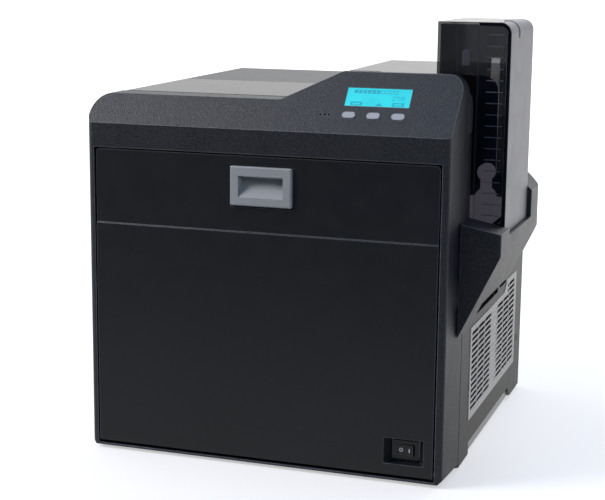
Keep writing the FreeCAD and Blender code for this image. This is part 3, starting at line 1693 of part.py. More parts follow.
def hopper_cover():
    body = new_body()
    right = hopper_right
    skin = size.cover_skin
    front = size.hopper_front
    back = size.hopper_back
    top = size.hopper_top
    low = size.cover_low
    wrap = size.cover_wrap
    pad(body, "XZ", (front, back), [rectangle((right - wrap, right), (low, top))])
    doc.recompute()
    round_edges(body, edges_along(body.Shape, "y", [(right, top)]), size.hopper_round)
    pocket(body, "XZ", (front - size.overrun, back + size.overrun), [
        rectangle((right - wrap - size.overrun, right - skin), (low - size.overrun, top - size.hopper_round)),
    ])
    edge = size.hopper_wall + size.touch_gap
    corner = size.hopper_round * size.bend_corner_share
    pocket(body, "XZ", (front + edge, back - edge), [[
        (right - wrap - size.overrun, top - size.hopper_round - size.running),
        (right - skin, top - size.hopper_round - size.running),
        (right - skin, top - size.hopper_round),
        (right - size.hopper_round * size.bend_out_share, top - skin * size.bend_up_share),
        (right - size.hopper_round, top - skin),
        (right - wrap - size.overrun, top - skin),
    ]])
    # corners behind which the housing's rounded front and rear walls stand
    for span in (
        (front - size.overrun, front + edge + size.running),
        (back - edge - size.running, back + size.overrun),
    ):
        pocket(body, "XZ", span, [[
            (right - wrap - size.overrun, top - size.hopper_round - size.running),
            (right - skin, top - size.hopper_round - size.running),
            (right - skin, top - size.hopper_round),
            (right - corner, top - corner),
            (right - size.hopper_round, top + size.overrun),
            (right - wrap - size.overrun, top + size.overrun),
        ]])
    # hinge knuckle between the housing's two
    x = right - size.knuckle_in
    z = size.knuckle_up
    span = (front + size.hopper_wall + size.knuckle_length + size.touch_gap,
            back - size.hopper_wall - size.knuckle_length - size.touch_gap)
    pad(body, "XZ", span, [rectangle((x, right - skin), (z - size.knuckle_radius, z + size.knuckle_radius))])
    pad(body, "XZ", span, [[(x, z, size.knuckle_radius)]])
    pocket(body, "XZ", (span[0] - size.running, span[1] + size.running), [
        [(x, z, size.hopper_pin_radius + size.running)],
    ])
    return keep("hopper_cover", body)


def hopper_hinge_pin():
    wall = size.hopper_wall
    pin = rod("y", (hopper_right - size.knuckle_in, size.knuckle_up),
              (size.hopper_front + wall + size.running, size.hopper_back - wall - size.running),
              size.hopper_pin_radius)
    return keep("hopper_hinge_pin", group(pin))


def cover_tab():
    """Finger tab that curves over the cover's rounded top edge."""
    body = new_body()
    right = hopper_right
    top = size.hopper_top
    drop = size.tab_drop
    thick = size.tab_thick
    span = (size.tab_front, size.tab_front + size.tab_width)
    pad(body, "XZ", span, [rectangle((right - drop, right + thick), (top - drop, top + thick))])
    doc.recompute()
    round_edges(body, edges_along(body.Shape, "y", [(right + thick, top + thick)]),
                size.hopper_round + thick)
    inner = new_body()
    pad(inner, "XZ", (span[0] - size.overrun, span[1] + size.overrun), [
        rectangle((right - drop - size.overrun, right), (top - drop - size.overrun, top)),
    ])
    doc.recompute()
    round_edges(inner, edges_along(inner.Shape, "y", [(right, top)]), size.hopper_round)
    return keep("cover_tab", carve(body, inner))


def hopper_knob():
    x = knob_x
    wide = size.knob_width / 2
    front = size.hopper_front
    low = size.knob_low
    high = low + size.knob_height
    stem = block((x - wide, x + wide), (front - size.knob_proud, front), (low, high))
    crown = rod("y", (x, high), (front - size.knob_proud, front), wide)
    return keep("hopper_knob", join(stem, crown))


def card_weight():
    gap = size.weight_gap
    wall = size.hopper_wall
    left = hopper_left + wall + gap
    right = hopper_right - size.cover_skin - size.weight_right_room
    front = size.hopper_front + wall + gap
    back = size.hopper_back - wall - gap
    low = size.weight_low
    top = low + size.weight_thick
    plate = block((left, right), (front, back), (low, top))
    x = weight_lug_x
    lug = size.weight_lug_radius
    lug_depth = (front, front + size.weight_lug_depth)
    stem = block((x - lug, x + lug), lug_depth, (top - wall, top + size.weight_lug_rise))
    crown = rod("y", (x, top + size.weight_lug_rise), lug_depth, lug)
    waist = block((x - size.weight_waist, x + size.weight_waist), lug_depth,
                  (top + size.weight_lug_rise, top + size.weight_knob_rise))
    knob = rod("y", (x, top + size.weight_knob_rise), lug_depth, size.weight_knob_radius)
    middle = (hopper_left + hopper_right - size.cover_skin - size.touch_gap) / 2
    rail = block((middle - size.rail_half, middle + size.rail_half), (back - wall, size.hopper_back),
                 (low, top))
    return keep("card_weight", join(plate, stem, crown, waist, knob, rail))


def main_bulkhead():
    """Steel plate that carries the mechanism, bent back below to stand on the tray."""
    front = size.bulkhead_front
    wide = bulkhead_half
    plate = block((-wide, wide), (front, bulkhead_back), (tray_top, size.bulkhead_top))
    foot = block((-wide, wide), (front, bulkhead_back + size.bulkhead_foot),
                 (tray_top, tray_top + size.bulkhead_thick))
    span = (front - size.overrun, bulkhead_back + size.overrun)
    play = size.running
    holes = [rod("y", place, span, radius + play) for place, radius in shaft_places()]
    holes.append(rod("y", (pick_x, pick_z), span, size.feed_shaft + play))
    holes.append(rod("y", (size.turner_x, turner_drive_z), span, size.motor_shaft + play))
    return keep("main_bulkhead", join(carve(join(plate, foot), *holes), motor_plate()))


def shaft_places():
    """Axes that cross both the front carrier and the bulkhead, with the shafts' radii."""
    return [
        ((size.takeup_x, size.film_z), size.spindle_radius),
        ((size.supply_x, size.film_z), size.spindle_radius),
        ((size.takeup_x, size.ribbon_z), size.spindle_radius),
        ((size.supply_x, size.ribbon_z), size.spindle_radius),
        ((size.station_x, heat_z), size.heat_shaft),
        ((size.station_x, transfer_z), size.platen_shaft),
        ((size.station_x, size.print_z), size.platen_shaft),
        ((size.feed_x, feed_low_z), size.feed_shaft),
        ((size.feed_x, feed_high_z), size.feed_shaft),
        ((size.turner_x, card_plane), size.spindle_radius),
    ]


def cassette_window(low, high):
    inset = size.plate_overlap
    span = (size.carrier_front - size.overrun, carrier_back + size.overrun)
    return block((size.cassette_left + inset, size.cassette_right - inset), span,
                 (low + inset, high - inset))


def front_carrier():
    """Front plate of the mechanism with windows for the two cassettes, tied to the bulkhead."""
    left = size.carrier_left
    right = size.carrier_right
    plate = block((left, right), (size.carrier_front, carrier_back), (tray_top, size.carrier_top))
    span = (size.carrier_front - size.overrun, carrier_back + size.overrun)
    holes = [rod("y", place, span, radius + size.running) for place, radius in shaft_places()[4:]]
    windows = [
        cassette_window(size.film_plate_low, size.film_plate_high),
        cassette_window(size.ribbon_plate_low, size.ribbon_plate_high),
    ]
    inset = size.tie_inset
    ties = [
        rod("y", (x, z), (size.carrier_front, size.bulkhead_front), size.tie_radius)
        for x in (left + inset, right - inset)
        for z in (tray_top + inset, size.carrier_top - inset)
    ]
    return keep("front_carrier", join(carve(plate, *holes, *windows), *ties))


def cassette(label, low, high, axis_z, notch=None):
    """Open frame of two plates, four bars and a pull grip; rear stubs rest on the bulkhead."""
    left = size.cassette_left
    right = size.cassette_right
    thick = size.plate_thick
    front = size.carrier_front - thick
    back = size.plate_back
    bar = size.cassette_bar
    inset = size.plate_overlap
    plates = [
        block((left, right), (front, front + thick), (low, high)),
        block((left + inset, right - inset), (back, back + thick), (low + inset, high - inset)),
    ]
    far = size.bulkhead_front
    ends = [(left + inset, left + inset + bar), (right - inset - bar, right - inset)]
    levels = [(low + inset, low + inset + bar), (high - inset - bar, high - inset)]
    bars = [block(x, (front, far), z) for x in ends for z in levels]
    middle = (left + right) / 2
    grip = block((middle - size.grip_width / 2, middle + size.grip_width / 2),
                 (front - size.grip_depth, front),
                 (axis_z - size.grip_height / 2, axis_z + size.grip_height / 2))
    span = (front - size.overrun, back + thick + size.overrun)
    cuts = [rod("y", (x, axis_z), span, size.spindle_radius + size.running)
            for x in (size.supply_x, size.takeup_x)]
    if notch is not None:
        cuts.append(notch)
    return keep(label, carve(join(*plates, *bars, grip), *cuts))


def film_cassette():
    return cassette("film_cassette", size.film_plate_low, size.film_plate_high, size.film_z)


def ribbon_cassette():
    wide = size.head_arm_half + size.arm_notch
    low = head_low - size.sink_height - size.arm_notch
    notch = block((size.station_x - wide, size.station_x + wide),
                  (size.plate_back - size.overrun, size.plate_back + size.plate_thick + size.overrun),
                  (low, size.ribbon_plate_high + size.overrun))
    return cassette("ribbon_cassette", size.ribbon_plate_low, size.ribbon_plate_high, size.ribbon_z, notch)


head_top = size.print_z - size.platen_radius - size.head_gap
head_low = head_top - size.head_height


def toothed_wheel(teeth, span):
    """Spur wheel round its own axis; its first tooth points to the left."""
    body = new_body()
    module = size.gear_module
    pitch = teeth * module / 2
    base = pitch - module - size.tooth_root_clear
    tip = pitch + module
    flank = half_turn * module / 4 - size.tooth_backlash / 4
    slope = module * sine(size.tooth_angle) / cosine(size.tooth_angle)
    pad(body, "XZ", span, [[(zero, zero, base)]])
    tooth = pad(body, "XZ", span, [[
        (-base + module / 2, -flank - slope), (-tip, -flank + slope),
        (-tip, flank - slope), (-base + module / 2, flank + slope),
    ]])
    doc.recompute()
    ring_of(body, tooth, "Y_Axis", teeth)
    return body


def axle(span, radius):
    """Round bar along the axis of a piece that is drawn round itself."""
    return rod("y", (zero, zero), span, radius)


def wound_roll(label, x, z, radius, driven):
    front = size.carrier_front - size.plate_thick
    end = gear_span[1] if driven else bulkhead_back + size.layer_gap
    rim = radius + size.flange_more
    parts = [
        axle((front, end), size.spindle_radius),
        axle((size.roll_front, size.roll_back), radius),
        axle((size.roll_front - size.flange_thick, size.roll_front), rim),
        axle((size.roll_back, size.roll_back + size.flange_thick), rim),
    ]
    if driven:
        parts.append(toothed_wheel(WHEEL_TEETH, gear_span))
    return keep(label, join(*parts), x, z)


def roller(label, x, z, radius, shaft, end, pulley=None):
    parts = [
        axle((size.carrier_front, end), shaft),
        axle((size.web_front, size.web_back), radius),
    ]
    if pulley is not None:
        parts.append(axle(belt_span, pulley))
    return keep(label, join(*parts), x, z)


def rollers():
    idle = bulkhead_back + size.layer_gap / 2
    driven = belt_span[1]
    x = size.station_x
    roller("heat_roller", x, heat_z, size.heat_radius, size.heat_shaft, driven, heat_pulley)
    roller("transfer_platen", x, transfer_z, size.platen_radius, size.platen_shaft, idle)
    roller("print_platen", x, size.print_z, size.platen_radius, size.platen_shaft, idle)
    roller("lower_feed_roller", size.feed_x, feed_low_z, size.feed_radius, size.feed_shaft, driven,
           size.pulley_radius)
    roller("upper_feed_roller", size.feed_x, feed_high_z, size.feed_radius, size.feed_shaft, idle)


def pick_roller():
    reach = size.pick_half_length
    y = size.pick_y
    front = y - reach - size.door_gap - size.pick_ear * 3 / 2
    parts = [
        axle((front, belt_span[1]), size.feed_shaft),
        axle((y - reach, y + reach), size.pick_radius),
        axle(belt_span, pick_pulley),
    ]
    return keep("pick_roller", join(*parts), pick_x, pick_z)


def print_head():
    """Thermal head under the print platen with its finned heat sink and arm."""
    x = size.station_x
    wide = size.head_width / 2
    web = (size.web_front, size.web_back)
    sink_low = head_low - size.sink_height
    head = block((x - wide, x + wide), web, (head_low, head_top))
    sink = block((x - wide, x + wide), web, (sink_low, head_low))
    fins = []
    for number in range(-2, 3):
        middle = x + number * size.sink_pitch + size.sink_slot / 2
        fins.append(block((middle - size.sink_slot / 2, middle + size.sink_slot / 2),
                          (size.web_front - size.overrun, size.web_back + size.overrun),
                          (sink_low - size.overrun, head_low - size.sink_slot)))
    arm = block((x - size.head_arm_half, x + size.head_arm_half),
                (size.web_back - size.head_height, size.bulkhead_front), (sink_low, head_low))
    return keep("print_head", join(carve(join(head, sink), *fins), arm))


def card_turner():
    """Drum that takes a card between two slabs and turns it over."""
    front = size.turner_front
    back = size.turner_back
    thick = size.turner_plate
    reach = size.turner_reach
    slot = size.turner_slot
    parts = [
        axle((front, front + thick), size.turner_radius),
        axle((size.carrier_front, front + thick), size.spindle_radius),
        axle((back - thick, bulkhead_back + size.layer_gap / 2), size.spindle_radius),
        toothed_wheel(TURNER_TEETH, turner_gear_span),
    ]
    for sign in (-1, 1):
        near = sign * slot
        far = sign * (slot + thick)
        parts.append(block((-reach, reach), (front, back), (near, far) if sign > 0 else (far, near)))
        for side in (-1, 1):
            place = side * (reach - size.feed_shaft - thick)
            parts.append(rod("y", (place, far), (front, back), size.feed_shaft))
    return keep("card_turner", join(*parts), size.turner_x, card_plane)


def card_guides():
    """Pairs of thin plates above and below the card's way, between carrier and bulkhead."""
    clear = size.guide_clear
    heat = size.heat_radius + clear
    feed = size.feed_radius + clear
    turn = size.turner_radius + clear
    stretches = (
        (-inner_half + size.exit_rim, size.station_x - heat),
        (size.station_x + heat, size.feed_x - feed),
        (size.feed_x + feed, size.turner_x - turn),
        (size.turner_x + turn, well_left),
    )
    plates = []
    for left, right in stretches:
        for sign in (-1, 1):
            near = card_plane + sign * size.guide_gap / 2
            far = near + sign * size.guide_thick
            plates.append(block((left, right), (carrier_back, size.bulkhead_front),
                                (near, far) if sign > 0 else (far, near)))
    return keep("card_guides", group(*plates))


def motor_places():
    """Axes of the four drive motors and the place of each one's face."""
    return (
        ((drive_x, size.film_z), motor_face),
        ((drive_x, size.ribbon_z), motor_face),
        ((size.transport_x, size.transport_z), motor_face),
        ((size.turner_x, turner_drive_z), bulkhead_back),
    )


def drive_motors():
    motors = []
    reach = size.motor_size / 2
    corner = size.motor_corner
    for (x, z), face in motor_places():
        body = new_body()
        pad(body, "XZ", (face, face + size.motor_length), [[
            (x - reach, z - reach + corner), (x - reach + corner, z - reach),
            (x + reach - corner, z - reach), (x + reach, z - reach + corner),
            (x + reach, z + reach - corner), (x + reach - corner, z + reach),
            (x - reach + corner, z + reach), (x - reach, z + reach - corner),
        ]])
        pocket(body, "XZ", (face - size.overrun, face + size.motor_bore),
               [[(x, z, size.motor_shaft + size.running)]])
        motors.append(body)
    return keep("drive_motors", group(*motors))


def motor_plate():
    """Plate on posts behind the bulkhead that three of the motors are screwed to."""
    body = new_body()
    step = size.motor_plate_step
    pad(body, "XZ", (motor_plate_front, motor_face), [[
        (size.motor_plate_left, size.motor_plate_low), (step, size.motor_plate_low),
        (step, size.motor_plate_mid), (size.motor_plate_right, size.motor_plate_mid),
        (size.motor_plate_right, size.motor_plate_high),
        (size.motor_plate_left, size.motor_plate_high),
    ]])
    holes = [[(x, z, size.motor_hole)] for (x, z), _ in motor_places()[:-1]]
    pocket(body, "XZ", (motor_plate_front - size.overrun, motor_face + size.overrun), holes)
    places = (
        (size.standoff_low_x, size.standoff_low_z),
        (size.standoff_mid_x, size.standoff_mid_z),
        (size.standoff_low_x, size.standoff_high_z),
        (size.standoff_right_x, size.standoff_high_z),
    )
    posts = [rod("y", place, (bulkhead_back, motor_plate_front), size.post_radius) for place in places]
    return join(body, *posts)


def pinion(label, x, z, span, face, turned=False):
    """Motor pinion on its shaft; turned, its first tooth points up."""
    wheel = toothed_wheel(PINION_TEETH, span)
    if turned:
        wheel.Placement.Rotation = FreeCAD.Rotation(FreeCAD.Vector(0, 1, 0), 90)
    shaft = axle((span[0], face + size.motor_bore - size.touch_gap), size.motor_shaft)
    return keep(label, join(wheel, shaft), x, z)


def pinions():
    pinion("film_pinion", drive_x, size.film_z, gear_span, motor_face)
    pinion("ribbon_pinion", drive_x, size.ribbon_z, gear_span, motor_face)
    pinion("turner_pinion", size.turner_x, turner_drive_z, turner_gear_span, bulkhead_back, True)


def motor_pulley():
    shaft = axle((belt_span[0], motor_face + size.motor_bore - size.touch_gap), size.motor_shaft)
    wheel = axle(belt_span, size.pulley_radius)
    return keep("motor_pulley", join(wheel, shaft), size.transport_x, size.transport_z)


def belt_loop(grow, span):
    """Solid that fills the loop round the four pulleys, out to grow beyond their rims."""
    body = new_body()
    wheels = [
        (size.station_x, heat_z, heat_pulley), (size.feed_x, feed_low_z, size.pulley_radius),
        (pick_x, pick_z, pick_pulley), (size.transport_x, size.transport_z, size.pulley_radius),
    ]
    pad(body, "XZ", span, [[wheel[:2] for wheel in wheels]])
    for place, (x0, z0, r0) in enumerate(wheels):
        x1, z1, r1 = wheels[(place + 1) % len(wheels)]
        run = root((x1 - x0) * (x1 - x0) + (z1 - z0) * (z1 - z0))
        along = ((x1 - x0) / run, (z1 - z0) / run)
        lean = (r0 - r1) / run
        rise = root(1 - lean * lean)
        out = (along[0] * lean - along[1] * rise, along[1] * lean + along[0] * rise)
        inward = size.pulley_radius / 4
        pad(body, "XZ", span, [[
            (x0 - out[0] * inward, z0 - out[1] * inward), (x1 - out[0] * inward, z1 - out[1] * inward),
            (x1 + out[0] * (r1 + grow), z1 + out[1] * (r1 + grow)),
            (x0 + out[0] * (r0 + grow), z0 + out[1] * (r0 + grow)),
        ]])
        pad(body, "XZ", span, [[(x0, z0, r0 + grow)]])
    return body


def transport_belt():
    over = (belt_span[0] - size.overrun, belt_span[1] + size.overrun)
    inside = size.touch_gap / 3
    return keep("transport_belt", carve(belt_loop(inside + size.belt_thick, belt_span), belt_loop(inside, over)))


def fan_frame():
    x = size.fan_x
    z = size.fan_z
    reach = size.fan_size / 2
    front = back_inner - size.fan_depth
    body = new_body()
    pad(body, "XZ", (front, back_inner), [
        rectangle((x - reach, x + reach), (z - reach, z + reach)),
        [(x, z, reach - size.fan_wall)],
    ])
    doc.recompute()
    corners = [(x + i * reach, z + k * reach) for i in (-1, 1) for k in (-1, 1)]
    round_edges(body, edges_along(body.Shape, "y", corners), size.fan_corner)
    thick = (front, front + size.fan_mount)
    arm = size.fan_strut / 2
    pad(body, "XZ", thick, [rectangle((x - reach, x + reach), (z - arm, z + arm))])
    pad(body, "XZ", thick, [rectangle((x - arm, x + arm), (z - reach, z + reach))])
    pad(body, "XZ", thick, [[(x, z, size.fan_hub)]])
    pocket(body, "XZ", (front - size.overrun, front + size.fan_mount + size.overrun),
           [[(x, z, size.fan_pin + size.running)]])
    return keep("fan_frame", body)


def fan_rotor():
    """Hub with swept blades, drawn round its own axis."""
    body = new_body()
    front = back_inner - size.fan_depth + size.fan_mount * 3 / 2
    back = back_inner - size.fan_mount * 3 / 2
    pad(body, "XZ", (front, back), [[(zero, zero, size.fan_hub)]])
    tip = size.fan_size / 2 - size.fan_wall - size.fan_tip_gap
    sweep = size.fan_sweep / 2
    thick = size.fan_blade_thick
    near = front + size.fan_mount / 2
    far = back - size.fan_mount / 2
    blade = pad(body, "YZ", (size.fan_hub - size.fan_root, tip), [[
        (near, -sweep - thick), (far, sweep - thick), (far, sweep + thick), (near, -sweep + thick),
    ]])
    doc.recompute()
    ring_of(body, blade, "Y_Axis", FAN_BLADES)
    pin = axle((back_inner - size.fan_depth, front + size.fan_mount), size.fan_pin)
    return keep("fan_rotor", join(body, pin), size.fan_x, size.fan_z)


def main_board():
    left = size.main_board_left
    right = size.main_board_right
    front = bulkhead_back + size.main_board_gap
    back = size.body_depth - size.main_board_inset
    top = board_low + size.board_thick
    parts = [block((left, right), (front, back), (board_low, top))]
    inset = size.standoff_radius + size.touch_gap
    for x in (left + inset, right - inset):
        for y in (front + inset, back - inset):
            parts.append(rod("z", (x, y), (tray_top, board_low), size.standoff_radius))
    chip = size.chip_size
    chip_front = front + size.chip_back
    for number in range(3):
        start = left + size.chip_margin + number * size.chip_pitch
        parts.append(block((start, start + chip), (chip_front, chip_front + chip), (top, top + size.chip_height)))
    row = front + inset * 2
    for number in range(4):
        start = left + size.chip_margin + number * size.connector_pitch
        parts.append(block((start, start + size.connector_width), (row, row + size.connector_depth),
                           (top, top + size.connector_height)))
    cuts = []
    for number in (0, 1):
        x = size.port_x + number * size.port_pitch
        port = size.port_width / 2
        rim = size.port_rim
        rear = size.body_depth
        parts.append(block((x - port, x + port), (rear - size.port_depth, rear),
                           (top, top + size.port_height)))
        cuts.append(block((x - port + rim, x + port - rim), (rear - size.port_depth + rim * 3, rear + size.overrun),
                          (top + rim, top + size.port_height - rim)))
    return keep("main_board", carve(join(*parts), *cuts))


def power_supply():
    left = size.power_left
    right = size.power_right
    low = tray_top
    high = low + size.power_height
    front = bulkhead_back + size.power_gap
    back = size.body_depth - size.power_inset
    case = block((left, right), (front, back), (low, high))
    skin = size.power_skin
    slots = []
    for number in range(8):
        y = front + size.power_pitch * (1 + number)
        slots.append(block((right - skin, right + size.overrun), (y, y + size.power_slot),
                           (low + size.power_pitch, high - size.power_pitch)))
    for number in range(10):
        x = left + size.power_pitch * (1.5 + number)
        slots.append(block((x, x + size.power_slot),
                           (front + size.power_pitch, back - size.power_pitch),
                           (high - skin, high + size.overrun)))
    return keep("power_supply", carve(case, *slots))


def mains_inlet():
    x = inlet_x
    z = size.inlet_z
    wide = size.inlet_width / 2
    tall = size.inlet_height / 2
    rear = size.body_depth
    front = rear - size.inlet_depth
    rim = size.inlet_rim
    case = block((x - wide, x + wide), (front, rear), (z - tall, z + tall))
    ear = size.inlet_flange
    flange = block((x - wide - ear, x + wide + ear), (rear, rear + size.flange_plate),
                   (z - tall - rim, z + tall + rim))
    mouth = block((x - wide + rim, x + wide - rim), (front + rim, rear + size.flange_plate + size.overrun),
                  (z - tall + rim, z + tall - rim))
    pins = []
    for place, lift in ((-1, 0), (0, 1), (1, 0)):
        middle = x + place * wide / 2
        height = z + lift * tall / 3 - (1 - lift) * tall / 6
        pin = size.socket_pin
        pins.append(block((middle - pin, middle + pin), (front, front + size.socket_pin_reach),
                          (height - pin * 2, height + pin * 2)))
    return keep("mains_inlet", join(carve(join(case, flange), mouth), *pins))


def case_screws():
    rear = size.body_depth
    inset = size.screw_inset
    heads = []
    for x in (-inner_half + inset, inner_half - inset):
        for z in (base_z + inset, size.side_top / 2, size.side_top - inset):
            head = rod("y", (x, z), (rear, rear + size.screw_head_height), size.screw_head)
            slot = rod("y", (x, z), (rear + size.screw_head_height / 2, rear + size.overrun * 2),
                       size.screw_head / 2)
            heads.append(carve(head, slot))
    return keep("case_screws", group(*heads))


def main():
    builders = (
        base_tray, rubber_feet, front_frame, door_shell, door_liner, door_hinge_pins, door_handle,
        latch_bar, latch_strikers, switch_housing, switch_rocker, display_glass, display_module,
        control_board, left_top_cover, raised_top_cover, left_side_panel, right_side_panel, side_grille,
        rear_panel, feeder_cradle, hopper_well, hopper_housing, hopper_cover, hopper_hinge_pin,
        cover_tab, hopper_knob, card_weight, main_bulkhead, front_carrier, film_cassette,
        ribbon_cassette, rollers, pick_roller, print_head, card_turner, card_guides, drive_motors,
        pinions, motor_pulley, transport_belt, fan_frame, fan_rotor, main_board,
        power_supply, mains_inlet, case_screws,
    )
    for builder in builders:
        builder()
    for label, number in (("button_left", -1), ("button_middle", 0), ("button_right", 1)):
        control_button(label, number)
    film, ribbon = size.film_z, size.ribbon_z
    wound_roll("film_supply_roll", size.supply_x, film, size.film_supply_radius, False)
    wound_roll("film_takeup_roll", size.takeup_x, film, size.film_takeup_radius, True)
    wound_roll("ribbon_supply_roll", size.supply_x, ribbon, size.ribbon_supply_radius, False)
    wound_roll("ribbon_takeup_roll", size.takeup_x, ribbon, size.ribbon_takeup_radius, True)
    doc.recompute()
    for thing in doc.Objects:
        if "Invalid" in thing.State or "Error" in thing.State:
            raise RuntimeError(f"{thing.Name} failed: {thing.State}")
    os.makedirs("parts", exist_ok=True)
    for label, thing in subparts.items():
        shape = thing.Shape
        if shape.isNull() or not shape.isValid():
            raise RuntimeError(f"{label}: the shape is empty or not valid")
        shape.exportStep(f"parts/{label}.step")
        print(label, len(shape.Solids), round(shape.Volume))


main()
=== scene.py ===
import math

import bmesh
import bpy
from bpy.props import FloatProperty, FloatVectorProperty, PointerProperty
from mathutils import Matrix, Vector


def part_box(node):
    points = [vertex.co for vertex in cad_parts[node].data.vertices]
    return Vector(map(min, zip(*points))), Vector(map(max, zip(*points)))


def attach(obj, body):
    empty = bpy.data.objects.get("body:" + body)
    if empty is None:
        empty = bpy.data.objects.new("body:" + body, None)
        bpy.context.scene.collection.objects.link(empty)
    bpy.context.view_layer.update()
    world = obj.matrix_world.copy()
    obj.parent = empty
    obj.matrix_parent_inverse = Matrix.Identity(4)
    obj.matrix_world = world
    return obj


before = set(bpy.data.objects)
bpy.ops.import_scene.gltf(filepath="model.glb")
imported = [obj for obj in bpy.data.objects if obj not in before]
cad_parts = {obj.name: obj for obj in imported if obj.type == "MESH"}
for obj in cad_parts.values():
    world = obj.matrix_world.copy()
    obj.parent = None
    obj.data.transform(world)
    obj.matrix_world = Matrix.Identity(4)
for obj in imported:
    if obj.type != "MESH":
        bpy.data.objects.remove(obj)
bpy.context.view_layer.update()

bl_info = {
    "name": "Card printer dressing",
    "version": (1, 0, 0),
    "blender": (4, 5, 0),
    "location": "3D View > Sidebar > Card printer",
    "description": "Gives the card printer its finishes, small marks, stage and camera",
    "category": "Object",
}


# Sizes and colours that a user may change

def linear(hex_colour):
    """Linear red, green and blue of an sRGB hex colour."""
    channels = [int(hex_colour[start:start + 2], 16) / 255 for start in (1, 3, 5)]
    return [c / 12.92 if c <= 0.04045 else ((c + 0.055) / 1.055) ** 2.4 for c in channels]


def colour_setting(name, description, hex_colour):
    return FloatVectorProperty(name=name, description=description, subtype="COLOR", size=3,
                               min=0.0, max=1.0, default=linear(hex_colour))


def length_setting(name, description, metres):
    return FloatProperty(name=name, description=description, unit="LENGTH", min=0.0, default=metres)


class CardPrinterColours(bpy.types.PropertyGroup):
    shell: colour_setting("Shell", "Grained plastic of the front frame and the feeder cradle", "#1B2028")
    door: colour_setting("Door", "Fine grained plastic of the front door", "#11151A")
    panel: colour_setting("Panels", "Plastic of the side and rear panels", "#202122")
    cover: colour_setting("Top covers", "Plastic of the two top covers", "#3C3E42")
    grille: colour_setting("Side grille", "Pale plastic of the louvred insert", "#C9C5BD")
    hopper_cover: colour_setting("Hopper cover", "Pale plastic of the hopper's hinged cover", "#7D7B7C")
    smoke: colour_setting("Hopper tint", "Smoke tint of the clear hopper", "#0D0C10")
    silver: colour_setting("Door handle", "Silver paint of the door handle", "#9FA3A6")
    keys: colour_setting("Keys", "Satin plastic of the three keys", "#B0B4BB")
    weight: colour_setting("Card weight", "Plastic of the card weight", "#D2CBE0")
    screen: colour_setting("Screen", "Backlight of the display", "#22E2F2")
    screen_mark: colour_setting("Screen marks", "Darkened dots of the display", "#1487A0")
    switch: colour_setting("Switch", "Plastic of the power switch", "#17181A")
    marks: colour_setting("Switch marks", "Printed circle and bar of the switch", "#C9D2DC")
    levels: colour_setting("Level marks", "Lines of the hopper's scale", "#5E6170")


# Real spark-eroded pits lie about 0.15 mm apart, turns of film 0.02 mm and a display's dots 0.4 mm. They
# are too fine to show, so the grains, the winding step and the dots are drawn coarser.
class CardPrinterSizes(bpy.types.PropertyGroup):
    edge: length_setting("Edge rounding", "Rounding that moulded edges show", 0.0006)
    socket_height: length_setting("Socket height", "Height of the rear sockets over the board", 0.0108)
    socket_depth: length_setting("Socket depth", "Depth of the rear sockets", 0.016)
    shell_grain: length_setting("Shell grain", "Spacing of the shell's coarse grain", 0.0011)
    fine_grain: length_setting("Fine grain", "Spacing of the fine grain of panels and door", 0.0007)
    dot: length_setting("Screen dot", "Pitch of the display's dots", 0.00062)
    mark_proud: length_setting("Mark height", "How far printed marks stand on their face", 0.00004)
    rim_start: length_setting("Rim start", "Place across where the hopper's dark rim begins", 0.1460)
    turn_pitch: length_setting("Winding step", "Spacing of the ridges at a roll's ends", 0.0009)


# Node trees

def add(tree, kind, values=None, links=None, **settings):
    """Adds a node: its own settings, values for its sockets, and links from other nodes' outputs."""
    node = tree.nodes.new(kind)
    for name, value in settings.items():
        setattr(node, name, value)
    for socket, value in (values or {}).items():
        node.inputs[socket].default_value = value
    for socket, output in (links or {}).items():
        tree.links.new(output, node.inputs[socket])
    return node


def opaque(colour):
    return (*colour, 1.0)


def new_material(name):
    material = bpy.data.materials.new(name)
    material.use_nodes = True
    tree = material.node_tree
    return material, tree, tree.nodes["Principled BSDF"]


# Patterns to a metre. Tone drifts over 90 mm and handling over 17 mm, metal is blotched over 8 mm, acrylic
# smeared over 26 mm, the screen's lamp is cloudy over 22 mm and film wavers over 4.5 mm. Real tracks lie
# 0.5 mm apart and ink and paper mottle over 0.2 mm. To show at all, they are drawn at 4 and at 1.1 mm.
DRIFT, HANDLING, BLOTCHES, SMEARS, LAMP_CLOUDS, WAVER = 11.0, 60.0, 120.0, 38.0, 45.0, 220.0
TRACKS, MOTTLE = 260.0, 900.0
# Nearly all values of a noise lie between these two
LOW, HIGH = 0.3, 0.7
# Cosine of the turn from a face to its rounded edge: where the painted edge highlight begins to show, and
# where it is full
HIGHLIGHT_START, HIGHLIGHT_FULL = 0.995, 0.9
EDGE_HIGHLIGHT_COLOUR = "#A9ADB2"
# The painted edge highlight reaches this many times as far as the edge's own rounding
HIGHLIGHT_REACH = 1.5
PLASTIC_IOR = 1.54
ACRYLIC_IOR = 1.49
POLYESTER_IOR = 1.6
LACQUER_ROUGHNESS = 0.15


